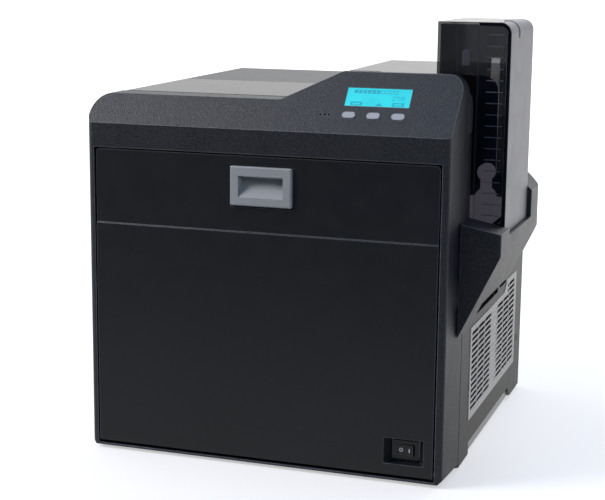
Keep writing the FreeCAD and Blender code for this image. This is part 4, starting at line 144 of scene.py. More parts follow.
def moulded(name, colour, roughness, grain, depth, drift=0.05, speckle=0.05, rim=0.12, coat=0.0, smear=0.03,
            rear=None, glow=0.0):
    """Injection moulded plastic: a spark-eroded grain, a slow drift of tone and a pale highlight painted
    along the edges.

    grain and depth: spacing and relief of the pits, drawn coarser than the real ones so that they show.
    drift: how far the tone wanders. speckle: how far tone and gloss differ from pit to pit. rim: how pale
    the painted edge highlight is. coat: how much clear lacquer lies on top. glow: painted light, how strongly
    it glows of itself.
    smear: how uneven handling leaves the gloss. rear: where a duller field starts, and by how much.
    """
    sizes = bpy.context.scene.card_printer_sizes
    material, tree, shader = new_material(name)
    place = add(tree, "ShaderNodeTexCoord").outputs["Object"]
    pits = add(tree, "ShaderNodeTexNoise", {"Scale": 1 / grain, "Detail": 3.0, "Roughness": 0.6},
               {"Vector": place}).outputs["Fac"]
    cloud = add(tree, "ShaderNodeTexNoise", {"Scale": DRIFT, "Detail": 4.0, "Roughness": 0.55},
                {"Vector": place}).outputs["Fac"]
    handled = add(tree, "ShaderNodeTexNoise", {"Scale": HANDLING, "Detail": 5.0, "Distortion": 0.6},
                  {"Vector": place}).outputs["Fac"]

    # edges: a rounding that softens the shading, and a wider one along which a pale highlight is painted
    soft = add(tree, "ShaderNodeBevel", {"Radius": sizes.edge}, samples=4).outputs["Normal"]
    highlight_normal = add(tree, "ShaderNodeBevel", {"Radius": sizes.edge * HIGHLIGHT_REACH}, samples=4).outputs["Normal"]
    face = add(tree, "ShaderNodeNewGeometry").outputs["Normal"]
    along = add(tree, "ShaderNodeVectorMath", None, {0: highlight_normal, 1: face},
                operation="DOT_PRODUCT").outputs["Value"]
    edge = add(tree, "ShaderNodeMapRange", {"From Min": HIGHLIGHT_START, "From Max": HIGHLIGHT_FULL, "To Max": rim},
               {"Value": along}).outputs["Result"]

    # tone
    slow = add(tree, "ShaderNodeMapRange",
               {"From Min": 0.35, "From Max": 0.65, "To Min": 1.0 - drift, "To Max": 1.0 + drift},
               {"Value": cloud}).outputs["Result"]
    fast = add(tree, "ShaderNodeMapRange",
               {"From Min": LOW, "From Max": HIGH, "To Min": 1.0 - speckle, "To Max": 1.0 + speckle},
               {"Value": pits}).outputs["Result"]
    tone = add(tree, "ShaderNodeMath", None, {0: slow, 1: fast}, operation="MULTIPLY").outputs["Value"]
    tint = add(tree, "ShaderNodeHueSaturation", {"Color": opaque(colour)}, {"Value": tone}).outputs["Color"]
    # painted highlight: the edges are mixed towards a pale grey
    tint = add(tree, "ShaderNodeMix", {"B": opaque(linear(EDGE_HIGHLIGHT_COLOUR))}, {"Factor": edge, "A": tint},
               data_type="RGBA").outputs["Result"]

    # gloss
    glints = add(tree, "ShaderNodeMapRange",
                 {"From Min": LOW, "From Max": HIGH,
                  "To Min": 0.5 * (1.0 - speckle), "To Max": 0.5 * (1.0 + speckle)},
                 {"Value": pits}).outputs["Result"]
    sheen = add(tree, "ShaderNodeMapRange",
                {"From Min": LOW, "From Max": HIGH, "To Min": roughness - smear, "To Max": roughness + smear},
                {"Value": handled}).outputs["Result"]
    if rear:
        border, duller = rear
        fuzz = 0.0002
        depth_back = add(tree, "ShaderNodeSeparateXYZ", None, {"Vector": place}).outputs["Y"]
        field = add(tree, "ShaderNodeMapRange",
                    {"From Min": border - fuzz, "From Max": border + fuzz, "To Min": 0.0, "To Max": duller},
                    {"Value": depth_back}).outputs["Result"]
        sheen = add(tree, "ShaderNodeMath", None, {0: sheen, 1: field}, operation="ADD").outputs["Value"]

    bump = add(tree, "ShaderNodeBump", {"Strength": 0.6, "Distance": depth}, {"Height": pits, "Normal": soft})
    tree.links.new(tint, shader.inputs["Base Color"])
    tree.links.new(sheen, shader.inputs["Roughness"])
    tree.links.new(glints, shader.inputs["Specular IOR Level"])
    tree.links.new(bump.outputs["Normal"], shader.inputs["Normal"])
    shader.inputs["IOR"].default_value = PLASTIC_IOR
    shader.inputs["Coat Weight"].default_value = coat
    shader.inputs["Coat Roughness"].default_value = LACQUER_ROUGHNESS
    # painted light: the tint glows of itself, though it is no lamp
    if glow:
        tree.links.new(tint, shader.inputs["Emission Color"])
        shader.inputs["Emission Strength"].default_value = glow
    return material


def metal(name, colour, roughness, stretch, pitch, depth, drift=0.08):
    """Bare metal: fine lines of a tool drawn out along one axis, in tone and relief, and blotched gloss.

    pitch and depth: the lines' spacing and relief. stretch: how many times as close they lie along each
    axis. Real lines lie about 0.1 mm apart and are drawn coarser, so that they show. drift: how far their
    tone differs.
    """
    sizes = bpy.context.scene.card_printer_sizes
    material, tree, shader = new_material(name)
    place = add(tree, "ShaderNodeTexCoord").outputs["Object"]
    drawn = add(tree, "ShaderNodeMapping", {"Scale": stretch}, {"Vector": place}).outputs["Vector"]
    lines = add(tree, "ShaderNodeTexNoise", {"Scale": 1 / pitch, "Detail": 4.0, "Roughness": 0.6},
                {"Vector": drawn}).outputs["Fac"]
    # blotches as hands and oil leave them
    blotch = add(tree, "ShaderNodeTexVoronoi", {"Scale": BLOTCHES, "Randomness": 1.0}, {"Vector": place},
                 feature="SMOOTH_F1").outputs["Distance"]
    tone = add(tree, "ShaderNodeMapRange",
               {"From Min": LOW, "From Max": HIGH, "To Min": 1 - drift, "To Max": 1 + drift},
               {"Value": lines}).outputs["Result"]
    tint = add(tree, "ShaderNodeHueSaturation", {"Color": opaque(colour)}, {"Value": tone}).outputs["Color"]
    sheen = add(tree, "ShaderNodeMapRange", {"To Min": roughness - 0.06, "To Max": roughness + 0.1},
                {"Value": blotch}).outputs["Result"]
    soft = add(tree, "ShaderNodeBevel", {"Radius": sizes.edge / 2}, samples=4).outputs["Normal"]
    bump = add(tree, "ShaderNodeBump", {"Strength": 0.5, "Distance": depth},
               {"Height": lines, "Normal": soft})
    tree.links.new(tint, shader.inputs["Base Color"])
    tree.links.new(sheen, shader.inputs["Roughness"])
    tree.links.new(bump.outputs["Normal"], shader.inputs["Normal"])
    shader.inputs["Metallic"].default_value = 1.0
    return material


def clear_smoke(name, colour, alpha):
    """Polished tinted acrylic: the wall shows what is behind it darkly, with a hard gloss and faint smears.

    Seen aslant the wall is thicker, so it hides more, and a pale blue-grey highlight is painted along its
    edges.
    """
    sizes = bpy.context.scene.card_printer_sizes
    material, tree, shader = new_material(name)
    place = add(tree, "ShaderNodeTexCoord").outputs["Object"]
    smear = add(tree, "ShaderNodeTexNoise",
                {"Scale": SMEARS, "Detail": 5.0, "Roughness": 0.6, "Distortion": 1.2},
                {"Vector": place}).outputs["Fac"]
    sheen = add(tree, "ShaderNodeMapRange",
                {"From Min": 0.35, "From Max": 0.75, "To Min": 0.04, "To Max": 0.16},
                {"Value": smear}).outputs["Result"]
    glance = add(tree, "ShaderNodeLayerWeight", {"Blend": 0.35}).outputs["Facing"]
    cover = add(tree, "ShaderNodeMapRange", {"To Min": alpha, "To Max": min(1.0, alpha + 0.3)},
                {"Value": glance}).outputs["Result"]
    tone = add(tree, "ShaderNodeMapRange",
               {"From Min": LOW, "From Max": HIGH, "To Min": 0.85, "To Max": 1.15},
               {"Value": smear}).outputs["Result"]
    tint = add(tree, "ShaderNodeHueSaturation", {"Color": opaque(colour)}, {"Value": tone}).outputs["Color"]
    soft = add(tree, "ShaderNodeBevel", {"Radius": sizes.edge}, samples=6).outputs["Normal"]
    face = add(tree, "ShaderNodeNewGeometry").outputs["Normal"]
    along = add(tree, "ShaderNodeVectorMath", None, {0: soft, 1: face},
                operation="DOT_PRODUCT").outputs["Value"]
    edge = add(tree, "ShaderNodeMapRange", {"From Min": 0.98, "From Max": 0.85},
               {"Value": along}).outputs["Result"]
    # painted highlight: the edges are mixed towards a pale blue-grey and made less clear
    tint = add(tree, "ShaderNodeMix", {"B": opaque(linear("#3C4154"))}, {"Factor": edge, "A": tint},
               data_type="RGBA").outputs["Result"]
    cover = add(tree, "ShaderNodeMath", None, {0: cover, 1: edge}, operation="MAXIMUM").outputs["Value"]
    bump = add(tree, "ShaderNodeBump", {"Strength": 0.1, "Distance": 0.0002},
               {"Height": smear, "Normal": soft})
    tree.links.new(tint, shader.inputs["Base Color"])
    tree.links.new(sheen, shader.inputs["Roughness"])
    tree.links.new(cover, shader.inputs["Alpha"])
    tree.links.new(bump.outputs["Normal"], shader.inputs["Normal"])
    shader.inputs["IOR"].default_value = ACRYLIC_IOR
    return material


def backlit_screen(name, colour):
    """Lit liquid crystal panel: an even glow that the lamp behind it leaves a little cloudy."""
    material, tree, shader = new_material(name)
    place = add(tree, "ShaderNodeTexCoord").outputs["Object"]
    cloud = add(tree, "ShaderNodeTexNoise", {"Scale": LAMP_CLOUDS, "Detail": 2.0},
                {"Vector": place}).outputs["Fac"]
    glow = add(tree, "ShaderNodeMapRange",
               {"From Min": LOW, "From Max": HIGH, "To Min": 0.92, "To Max": 1.08},
               {"Value": cloud}).outputs["Result"]
    tint = add(tree, "ShaderNodeHueSaturation", {"Color": opaque(colour)}, {"Value": glow}).outputs["Color"]
    tree.links.new(tint, shader.inputs["Emission Color"])
    shader.inputs["Emission Strength"].default_value = 0.82
    shader.inputs["Base Color"].default_value = opaque(linear("#275962"))
    shader.inputs["Roughness"].default_value = 0.3
    return material


def film_winding(name, colour, edge_colour, gloss):
    """Wound film: a glossy outer turn, and turns that show as fine rings at the roll's ends."""
    sizes = bpy.context.scene.card_printer_sizes
    material, tree, shader = new_material(name)
    place = add(tree, "ShaderNodeTexCoord").outputs["Object"]
    flat = add(tree, "ShaderNodeVectorMath", {1: (1, 0, 1)}, {0: place},
               operation="MULTIPLY").outputs["Vector"]
    reach = add(tree, "ShaderNodeVectorMath", None, {0: flat}, operation="LENGTH").outputs["Value"]
    turns = add(tree, "ShaderNodeMath", {1: math.tau / sizes.turn_pitch}, {0: reach}, operation="MULTIPLY")
    ring = add(tree, "ShaderNodeMath", None, {0: turns.outputs["Value"]}, operation="SINE").outputs["Value"]
    waver = add(tree, "ShaderNodeTexNoise", {"Scale": WAVER, "Detail": 3.0},
                {"Vector": place}).outputs["Fac"]
    mixed = add(tree, "ShaderNodeMath", None, {0: ring, 1: waver}, operation="MULTIPLY").outputs["Value"]
    blend = add(tree, "ShaderNodeMapRange", {"From Min": -0.6, "From Max": 0.6},
                {"Value": mixed}).outputs["Result"]
    tint = add(tree, "ShaderNodeMix", {"A": opaque(colour), "B": opaque(edge_colour)}, {"Factor": blend},
               data_type="RGBA")
    bump = add(tree, "ShaderNodeBump", {"Strength": 0.4, "Distance": 0.0001}, {"Height": mixed})
    tree.links.new(tint.outputs["Result"], shader.inputs["Base Color"])
    tree.links.new(bump.outputs["Normal"], shader.inputs["Normal"])
    shader.inputs["Roughness"].default_value = gloss
    shader.inputs["IOR"].default_value = POLYESTER_IOR
    return material


def circuit_board(name, top=None, sockets=None):
    """Solder mask over etched copper: green lacquer in which the tracks stand out as paler lines.

    Above height top sit black epoxy packages, and there, behind depth sockets, tinned socket shells.
    """
    material, tree, shader = new_material(name)
    place = add(tree, "ShaderNodeTexCoord").outputs["Object"]
    tracks = add(tree, "ShaderNodeTexVoronoi", {"Scale": TRACKS}, {"Vector": place}, feature="F1",
                 distance="CHEBYCHEV").outputs["Distance"]
    lines = add(tree, "ShaderNodeMapRange", {"From Min": 0.42, "From Max": 0.5},
                {"Value": tracks}).outputs["Result"]
    tint = add(tree, "ShaderNodeMix", {"A": opaque(linear("#123F28")), "B": opaque(linear("#2C6B45"))},
               {"Factor": lines}, data_type="RGBA").outputs["Result"]
    bump = add(tree, "ShaderNodeBump", {"Strength": 0.3, "Distance": 0.0001}, {"Height": lines})
    if top is not None:
        part = add(tree, "ShaderNodeSeparateXYZ", None, {"Vector": place}).outputs
        mounted = add(tree, "ShaderNodeMath", {1: top}, {0: part["Z"]},
                      operation="GREATER_THAN").outputs["Value"]
        rearmost = add(tree, "ShaderNodeMath", {1: sockets}, {0: part["Y"]},
                       operation="GREATER_THAN").outputs["Value"]
        tinned = add(tree, "ShaderNodeMath", None, {0: mounted, 1: rearmost},
                     operation="MULTIPLY").outputs["Value"]
        for mask, colour in ((mounted, "#1A1B1D"), (tinned, "#B9BAB8")):
            tint = add(tree, "ShaderNodeMix", {"B": opaque(linear(colour))}, {"Factor": mask, "A": tint},
                       data_type="RGBA").outputs["Result"]
        tree.links.new(tinned, shader.inputs["Metallic"])
    tree.links.new(tint, shader.inputs["Base Color"])
    tree.links.new(bump.outputs["Normal"], shader.inputs["Normal"])
    shader.inputs["Roughness"].default_value = 0.3
    return material


def plain_print(name, colour, roughness, glow=0.0):
    """Printed or lit mark: a thin even layer with the slight mottling of ink."""
    material, tree, shader = new_material(name)
    place = add(tree, "ShaderNodeTexCoord").outputs["Object"]
    mottle = add(tree, "ShaderNodeTexNoise", {"Scale": MOTTLE, "Detail": 2.0},
                 {"Vector": place}).outputs["Fac"]
    tone = add(tree, "ShaderNodeMapRange",
               {"From Min": LOW, "From Max": HIGH, "To Min": 0.9, "To Max": 1.05},
               {"Value": mottle}).outputs["Result"]
    tint = add(tree, "ShaderNodeHueSaturation", {"Color": opaque(colour)}, {"Value": tone}).outputs["Color"]
    tree.links.new(tint, shader.inputs["Base Color"])
    if glow:
        tree.links.new(tint, shader.inputs["Emission Color"])
        shader.inputs["Emission Strength"].default_value = glow
    shader.inputs["Roughness"].default_value = roughness
    return material


def finish_nodes(material, *names):
    """Puts a material on CAD nodes that stay as they are."""
    for name in names:
        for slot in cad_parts[name].material_slots:
            slot.material = material


# Meshes

# Faces that meet at more than this many degrees keep a sharp edge
SHARP = 35.0


def new_piece(name, mesh_data, material, body):
    """Makes a piece of mesh data that rides on a body."""
    mesh = bpy.data.meshes.new(name)
    bmesh.ops.recalc_face_normals(mesh_data, faces=mesh_data.faces)
    mesh_data.to_mesh(mesh)
    mesh_data.free()
    mesh.materials.append(material)
    mesh.shade_smooth()
    mesh.set_sharp_from_angle(angle=math.radians(SHARP))
    piece = bpy.data.objects.new(name, mesh)
    bpy.context.scene.collection.objects.link(piece)
    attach(piece, body)
    return piece


def rounded_bar(mesh_data, place, turn, size, rounding):
    """Adds a bar with rounded edges: place and turn are its middle and directions, size its three lengths."""
    made = bmesh.ops.create_cube(mesh_data, size=1.0)["verts"]
    matrix = Matrix.Translation(place) @ turn.to_4x4() @ Matrix.Diagonal((*size, 1.0))
    bmesh.ops.transform(mesh_data, matrix=matrix, verts=made)
    edges = {edge for vert in made for edge in vert.link_edges}
    bmesh.ops.bevel(mesh_data, geom=list(edges), offset=rounding, segments=2, profile=0.5, affect="EDGES")


def lathe(mesh_data, place, turn, profile, steps):
    """Adds a turned form about turn's Z, in so many steps round.

    profile is a closed line whose points are (distance from the axis, place along it).
    """
    rings = []
    for radius, along in profile:
        ring = []
        for step in range(steps):
            angle = math.tau * step / steps
            point = Vector((radius * math.cos(angle), radius * math.sin(angle), along))
            ring.append(mesh_data.verts.new(place + turn @ point))
        rings.append(ring)
    for low, high in zip(rings, rings[1:] + rings[:1]):
        for step in range(steps):
            after = (step + 1) % steps
            mesh_data.faces.new((low[step], low[after], high[after], high[step]))


def middle(node):
    low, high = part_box(node)
    return (low + high) / 2


def on_node(node, start, direction):
    """Where a straight line first meets a CAD node, with the surface's outward direction there."""
    hit, place, normal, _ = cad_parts[node].ray_cast(Vector(start), Vector(direction).normalized())
    if not hit:
        raise RuntimeError(f"no line from {start} meets {node}")
    return place, normal


def upright_turn(normal):
    """Directions of a mark on a face: X to the right, Y up the face, Z out of it."""
    out = Vector(normal).normalized()
    across = Vector((0, 0, 1)).cross(out).normalized()
    up = out.cross(across)
    return Matrix((across, up, out)).transposed()


# Directions that lay a turned form's axis along Y
AXIS_Y = Matrix.Rotation(math.radians(-90), 3, "X")


# Pieces and finishes, one operator each

class Dressing:
    """What every operator of the dressing shares."""
    bl_options = {"REGISTER", "UNDO"}

    @property
    def colours(self):
        return bpy.context.scene.card_printer_colours

    @property
    def sizes(self):
        return bpy.context.scene.card_printer_sizes


class CARDPRINTER_OT_case(Dressing, bpy.types.Operator):
    """Finishes the front frame, panels, covers and louvred insert"""
    bl_idname = "card_printer.case"
    bl_label = "Case"

    def execute(self, context):
        # ABS from a coarsely eroded mould: a matt skin that breaks the light into a fine glitter
        shell = moulded("TexturedAbsShell", self.colours.shell, 0.4, self.sizes.shell_grain, 0.0008,
                        drift=0.04, speckle=0.38, rim=0.6)
        # ABS from a finely eroded mould: even and dull, with hardly any painted highlight line at its edges
        panel = moulded("FineAbsPanel", self.colours.panel, 0.46, self.sizes.fine_grain, 0.00004,
                        drift=0.03, speckle=0.06, rim=0.1, smear=0.015)
        # ABS from a nearly smooth mould: a wide soft shine, duller in the left cover's rear field
        cover_border, cover_duller = 0.0162, 0.13
        cover = moulded("FineAbsCover", self.colours.cover, 0.27, self.sizes.fine_grain, 0.00001,
                        drift=0.03, speckle=0.05, rim=0.1, smear=0.01, rear=(cover_border, cover_duller))
        # the same ABS from a satin mould: a tighter, paler shine
        raised = moulded("SatinAbsCover", self.colours.cover, 0.2, self.sizes.fine_grain, 0.00001,
                         drift=0.03, speckle=0.05, rim=0.1, smear=0.01)
        # uncoated pale ABS: chalky bars against the dark behind them
        insert = moulded("PaleAbsInsert", self.colours.grille, 0.5, self.sizes.fine_grain, 0.00004,
                         drift=0.05, speckle=0.04, rim=0.1)
        finish_nodes(shell, "front_frame", "feeder_cradle")
        finish_nodes(panel, "left_side_panel", "right_side_panel", "rear_panel")
        finish_nodes(cover, "left_top_cover")
        finish_nodes(raised, "raised_top_cover")
        finish_nodes(insert, "side_grille")
        return {"FINISHED"}


class CARDPRINTER_OT_front_door(Dressing, bpy.types.Operator):
    """Finishes the door, its liner, handle, pins and latch"""
    bl_idname = "card_printer.front_door"
    bl_label = "Front door"

    def execute(self, context):
        # ABS from a finely eroded mould: a deep even black, and pale highlight lines painted along its edges
        skin = moulded("FineAbsDoor", self.colours.door, 0.42, self.sizes.fine_grain, 0.00005,
                       drift=0.06, speckle=0.08, rim=0.3)
        # untextured ABS: a dull grey inner wall
        liner = moulded("PlainAbsLiner", linear("#2C2F33"), 0.55, self.sizes.fine_grain, 0.00004)
        # silver paint sprayed on ABS under clear lacquer: a cool grey with a soft gloss on its slopes
        paint = moulded("SilverPaint", self.colours.silver, 0.36, 0.0005, 0.00003,
                        drift=0.05, speckle=0.06, rim=0.15, coat=0.25)
        # steel turned on a lathe: bright, with fine rings round its length
        turned = metal("TurnedSteel", linear("#B9BCBF"), 0.28, (1.0, 40.0, 40.0), 0.012, 0.00002)
        # zinc plated sheet steel: pale and satin, with faint rolled lines
        plated = metal("ZincPlatedSteel", linear("#A9ACAE"), 0.38, (1.0, 1.0, 8.0), 0.004, 0.00003)
        finish_nodes(skin, "door_shell")
        finish_nodes(liner, "door_liner")
        finish_nodes(paint, "door_handle")
        finish_nodes(turned, "door_hinge_pins", "latch_bar")
        finish_nodes(plated, "latch_strikers")
        return {"FINISHED"}


# Rows of each digit's dots, from the top, as the bits of a number
DIGITS = {
    "0": (14, 17, 19, 21, 25, 17, 14), "1": (4, 12, 4, 4, 4, 4, 14), "2": (14, 17, 1, 2, 4, 8, 31),
    "5": (31, 16, 30, 1, 1, 17, 14),
}

PANEL_SLOPE = math.radians(50)
# How far off the panel the search for the glass starts
CLEAR_OF_PANEL = 0.02
DOT_COLUMNS, DOT_ROWS = 80, 26
# Share of its cell that a dot fills
DOT_SHARE = 0.86
DOT_LIFT, DOT_THICK, DOT_ROUNDING = 0.00003, 0.00004, 0.00001


class CARDPRINTER_OT_control_panel(Dressing, bpy.types.Operator):
    """Lights the display with a plain bar and count, and finishes the keys"""
    bl_idname = "card_printer.control_panel"
    bl_label = "Control panel"

    def dots(self):
        """Lit places of the dot grid: a bar of ten fields, a count and two key fields."""
        found = []
        for field in range(10):
            for column in range(5):
                rows = range(6) if field < 6 or column in (0, 4) else (0, 5)
                found += [(6 + field * 6 + column, 19 + row) for row in rows]
        for number, sign in enumerate("250"):
            for row, bits in enumerate(DIGITS[sign]):
                found += [(58 + number * 6 + column, 15 - row)
                          for column in range(5) if bits >> (4 - column) & 1]
        for left in (4, 60):
            for column in range(16):
                rows = (0, 1, 4, 5) if 2 < column < 13 else range(6)
                found += [(left + column, row) for row in rows]
        for row in range(5):
            found += [(38 + column, row) for column in range(row, 9 - row)]
        return found

    def execute(self, context):
        # liquid crystal before a cold lamp: a strong even cyan
        lit = backlit_screen("LitCrystalPanel", self.colours.screen)
        # untextured black ABS: a dark dull frame behind the glass
        housing = moulded("BlackAbsDisplayCase", linear("#17181A"), 0.5, self.sizes.fine_grain, 0.00004)
        # ABS from a satin mould: smooth pale keys with a bright rim painted along their edges as a highlight
        key = moulded("SatinAbsKey", self.colours.keys, 0.32, 0.0004, 0.00002,
                      drift=0.03, speckle=0.03, rim=0.2)
        finish_nodes(lit, "display_glass")
        finish_nodes(housing, "display_module")
        finish_nodes(key, "button_left", "button_middle", "button_right")
        # lacquered glass fibre board: green with paler tracks
        finish_nodes(circuit_board("GreenSolderMask"), "control_board")
        # the same with its packages and sockets: dull black blocks and bright tinned shells
        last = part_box("main_board")[1]
        finish_nodes(circuit_board("GreenSolderMaskWithParts", last.z - self.sizes.socket_height,
                                   last.y - self.sizes.socket_depth), "main_board")

        # switched crystal: dots of a darker cyan, through which the lamp still glows
        ink = plain_print("DarkenedCrystal", self.colours.screen_mark, 0.4, 0.6)
        slope = Vector((0, math.cos(PANEL_SLOPE), math.sin(PANEL_SLOPE)))
        out = Vector((0, -slope.z, slope.y))
        turn = Matrix((Vector((1, 0, 0)), slope, out)).transposed()
        centre, _ = on_node("display_glass", middle("display_glass") + out * CLEAR_OF_PANEL, -out)
        pitch = self.sizes.dot
        side = pitch * DOT_SHARE
        start = centre - Vector((DOT_COLUMNS * pitch / 2, 0, 0)) - slope * (DOT_ROWS * pitch / 2)
        dots = bmesh.new()
        for column, row in self.dots():
            place = start + Vector(((column + 0.5) * pitch, 0, 0)) + slope * (row + 0.5) * pitch
            rounded_bar(dots, place + out * DOT_LIFT, turn, (side, side, DOT_THICK), DOT_ROUNDING)
        new_piece("display_dots", dots, ink, "case")
        return {"FINISHED"}


class CARDPRINTER_OT_power_switch(Dressing, bpy.types.Operator):
    """Finishes the power switch and prints its circle and bar"""
    bl_idname = "card_printer.power_switch"
    bl_label = "Power switch"

    def execute(self, context):
        # nylon from a polished mould: small hard highlights on black
        body = moulded("GlossNylonSwitch", self.colours.switch, 0.3, 0.0004, 0.00002,
                       drift=0.04, speckle=0.04, rim=0.2)
        finish_nodes(body, "switch_housing", "switch_rocker")
        # white ink from a pad: flat and even
        white = plain_print("PrintedWhite", self.colours.marks, 0.5)
        centre = middle("switch_rocker")
        from_centre, clear_of_switch = 0.0036, 0.02
        ring_outer, ring_inner, ring_sunk = 0.00165, 0.00095, -0.0001
        bar_size, bar_rounding = (0.0009, 0.0034, 0.0001), 0.00002
        proud = self.sizes.mark_proud
        marks = bmesh.new()
        for side in (-1, 1):
            start = Vector((centre.x + side * from_centre, centre.y - clear_of_switch, centre.z))
            place, normal = on_node("switch_rocker", start, (0, 1, 0))
            turn = upright_turn(normal)
            if side < 0:
                lathe(marks, place, turn, ((ring_outer, ring_sunk), (ring_outer, proud),
                                           (ring_inner, proud), (ring_inner, ring_sunk)), 40)
            else:
                rounded_bar(marks, place + turn.col[2] * proud, turn, bar_size, bar_rounding)
        new_piece("switch_marks", marks, white, "rocker")
        return {"FINISHED"}


class CARDPRINTER_OT_card_feeder(Dressing, bpy.types.Operator):
    """Finishes the hopper and its weight, and fills its level marks"""
    bl_idname = "card_printer.card_feeder"
    bl_label = "Card feeder"

    def execute(self, context):
        # polished smoke acrylic: dark, hard and shiny, with the weight dimly behind it
        smoke = clear_smoke("SmokeAcrylic", self.colours.smoke, 0.62)
        # ABS from a finely eroded mould: a flat pale grey
        cover = moulded("PaleAbsHopperCover", self.colours.hopper_cover, 0.42, self.sizes.fine_grain, 0.00005,
                        drift=0.04, speckle=0.05, rim=0.3)
        # untextured ABS: a plain grey tab
        tab = moulded("GreyAbsTab", linear("#7C7E83"), 0.42, self.sizes.fine_grain, 0.00004)
        # untextured ABS: a dull dark bed for the cards
        well = moulded("PlainAbsWell", linear("#202327"), 0.5, self.sizes.fine_grain, 0.00004)
        # milky acetal: a soft violet white, with painted light, for it glows faintly of itself
        weight = moulded("WhiteAcetalWeight", self.colours.weight, 0.38, 0.0006, 0.00003,
                         drift=0.05, speckle=0.04, glow=0.45)
        # smooth ABS: a small grey knob with a soft highlight
        knob = moulded("GreyAbsKnob", linear("#4C4A55"), 0.35, 0.0005, 0.00003)
        finish_nodes(smoke, "hopper_housing")
        finish_nodes(cover, "hopper_cover")
        finish_nodes(tab, "cover_tab")
        finish_nodes(well, "hopper_well")
        finish_nodes(weight, "card_weight")
        finish_nodes(knob, "hopper_knob")
        # steel turned on a lathe: a bright pin with fine rings
        pin = metal("TurnedSteelPin", linear("#B9BCBF"), 0.28, (40.0, 1.0, 40.0), 0.012, 0.00002)
        finish_nodes(pin, "hopper_hinge_pin")
        self.cover_rim()
        self.level_marks()
        return {"FINISHED"}

    def cover_rim(self):
        """Dark rim of the clear front, which closes the cover's edge: up its side and over its top."""
        low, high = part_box("hopper_cover")
        rounding, wide, above_foot, steps = 0.009, 0.0034, 0.0005, 12
        sunk, proud = 0.0001, 0.0003
        path = [(high.x, low.z + above_foot), (high.x, high.z - rounding)]
        for step in range(1, steps):
            angle = math.radians(90 * step / steps)
            path.append((high.x - rounding + rounding * math.cos(angle),
                         high.z - rounding + rounding * math.sin(angle)))
        path += [(high.x - rounding, high.z), (self.sizes.rim_start, high.z)]
        rim = bmesh.new()
        rows = []
        for number, (x, z) in enumerate(path):
            before = Vector(path[max(number - 1, 0)])
            after = Vector(path[min(number + 1, len(path) - 1)])
            run = (after - before).normalized()
            inward = Vector((-run.y, run.x))
            near = Vector((x, z)) + inward * sunk
            far = Vector((x, z)) + inward * wide
            rows.append([rim.verts.new((place.x, low.y + y, place.y))
                         for place, y in ((near, -sunk), (far, -sunk), (far, proud), (near, proud))])
        for first_row, second_row in zip(rows, rows[1:]):
            for number in range(4):
                following = (number + 1) % 4
                rim.faces.new((first_row[number], first_row[following],
                               second_row[following], second_row[number]))
        rim.faces.new(rows[0])
        rim.faces.new(rows[-1][::-1])
        # polished smoke acrylic on a dark ground: nearly black, with a sharp bright line painted along its
        # edges as a highlight
        dark = moulded("SmokeAcrylicRim", linear("#0C0C0E"), 0.12, 0.0005, 0.00001, speckle=0.02, rim=0.35)
        new_piece("cover_rim", rim, dark, "feeder_cover")

    def level_marks(self):
        """Ink in the grooves of the hopper's scale."""
        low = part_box("hopper_housing")[0]
        marks = bmesh.new()
        across, first, pitch, sunk, count = 0.16015, 0.21695, 0.00918, 0.00008, 17
        size, rounding = (0.0136, 0.00012, 0.00045), 0.00004
        for number in range(count):
            place = Vector((across, low.y + sunk, first + number * pitch))
            rounded_bar(marks, place, Matrix.Identity(3), size, rounding)
        # pale ink wiped into the grooves: thin even lines
        ink = plain_print("PaleScalePrint", self.colours.levels, 0.5)
        new_piece("level_marks", marks, ink, "case")


class CARDPRINTER_OT_film_and_ribbon(Dressing, bpy.types.Operator):
    """Finishes the cassettes and winds film and ribbon on their rolls"""
    bl_idname = "card_printer.film_and_ribbon"
    bl_label = "Film and ribbon"

    def execute(self, context):
        # ABS from a finely eroded mould: plain dark grey frames
        case = moulded("GreyAbsCassette", linear("#3B4046"), 0.5, self.sizes.fine_grain, 0.00004,
                       speckle=0.08)
        # smooth polystyrene: off-white cores
        core = moulded("WhiteCore", linear("#C9C8C2"), 0.5, 0.0006, 0.00003)
        finish_nodes(case, "film_cassette", "ribbon_cassette", "card_guides")
        finish_nodes(core, "film_supply_roll", "film_takeup_roll", "ribbon_supply_roll", "ribbon_takeup_roll")
        # clear polyester film with its coating: a glossy straw-coloured roll
        clear = film_winding("ClearTransferFilm", linear("#8F8A74"), linear("#C3BEA6"), 0.14)
        # polyester ribbon with its dyes: a dark violet roll with paler rings
        dark = film_winding("WaxColourRibbon", linear("#1D1726"), linear("#4A3A5C"), 0.2)
        # body, outer radius, finish and slot
        rolls = (
            ("film_supply", 0.025, clear, "film_material"),
            ("film_takeup", 0.017, clear, "film_material"),
            ("ribbon_supply", 0.022, dark, "ribbon_material"),
            ("ribbon_takeup", 0.015, dark, "ribbon_material"),
        )
        middle_depth, half_width = -0.0473, 0.0443
        takeup_across, film_takeup_height, ribbon_takeup_height = 0.00335, 0.1375, 0.055
        core_share, ridge_height, over_core, turns = 0.35, 0.0002, 0.0002, 12
        for body, radius, film, slot in rolls:
            low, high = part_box(body + "_roll")
            centre = Vector(((low.x + high.x) / 2, middle_depth, (low.z + high.z) / 2))
            if body.endswith("takeup"):
                centre.z = film_takeup_height if body.startswith("film") else ribbon_takeup_height
                centre.x = takeup_across
            profile = []
            for turn in range(turns + 1):
                share = turn / turns
                ridge = ridge_height if turn % 2 else 0.0
                reach = radius * (core_share + (1 - core_share) * share) + over_core * share
                profile.append((reach, -half_width + ridge))
            profile += [(reach, -along) for reach, along in reversed(profile)]
            winding = bmesh.new()
            lathe(winding, Vector(), AXIS_Y, profile, 72)
            piece = new_piece(body + "_winding", winding, film, body)
            piece.location = centre
        return {"FINISHED"}


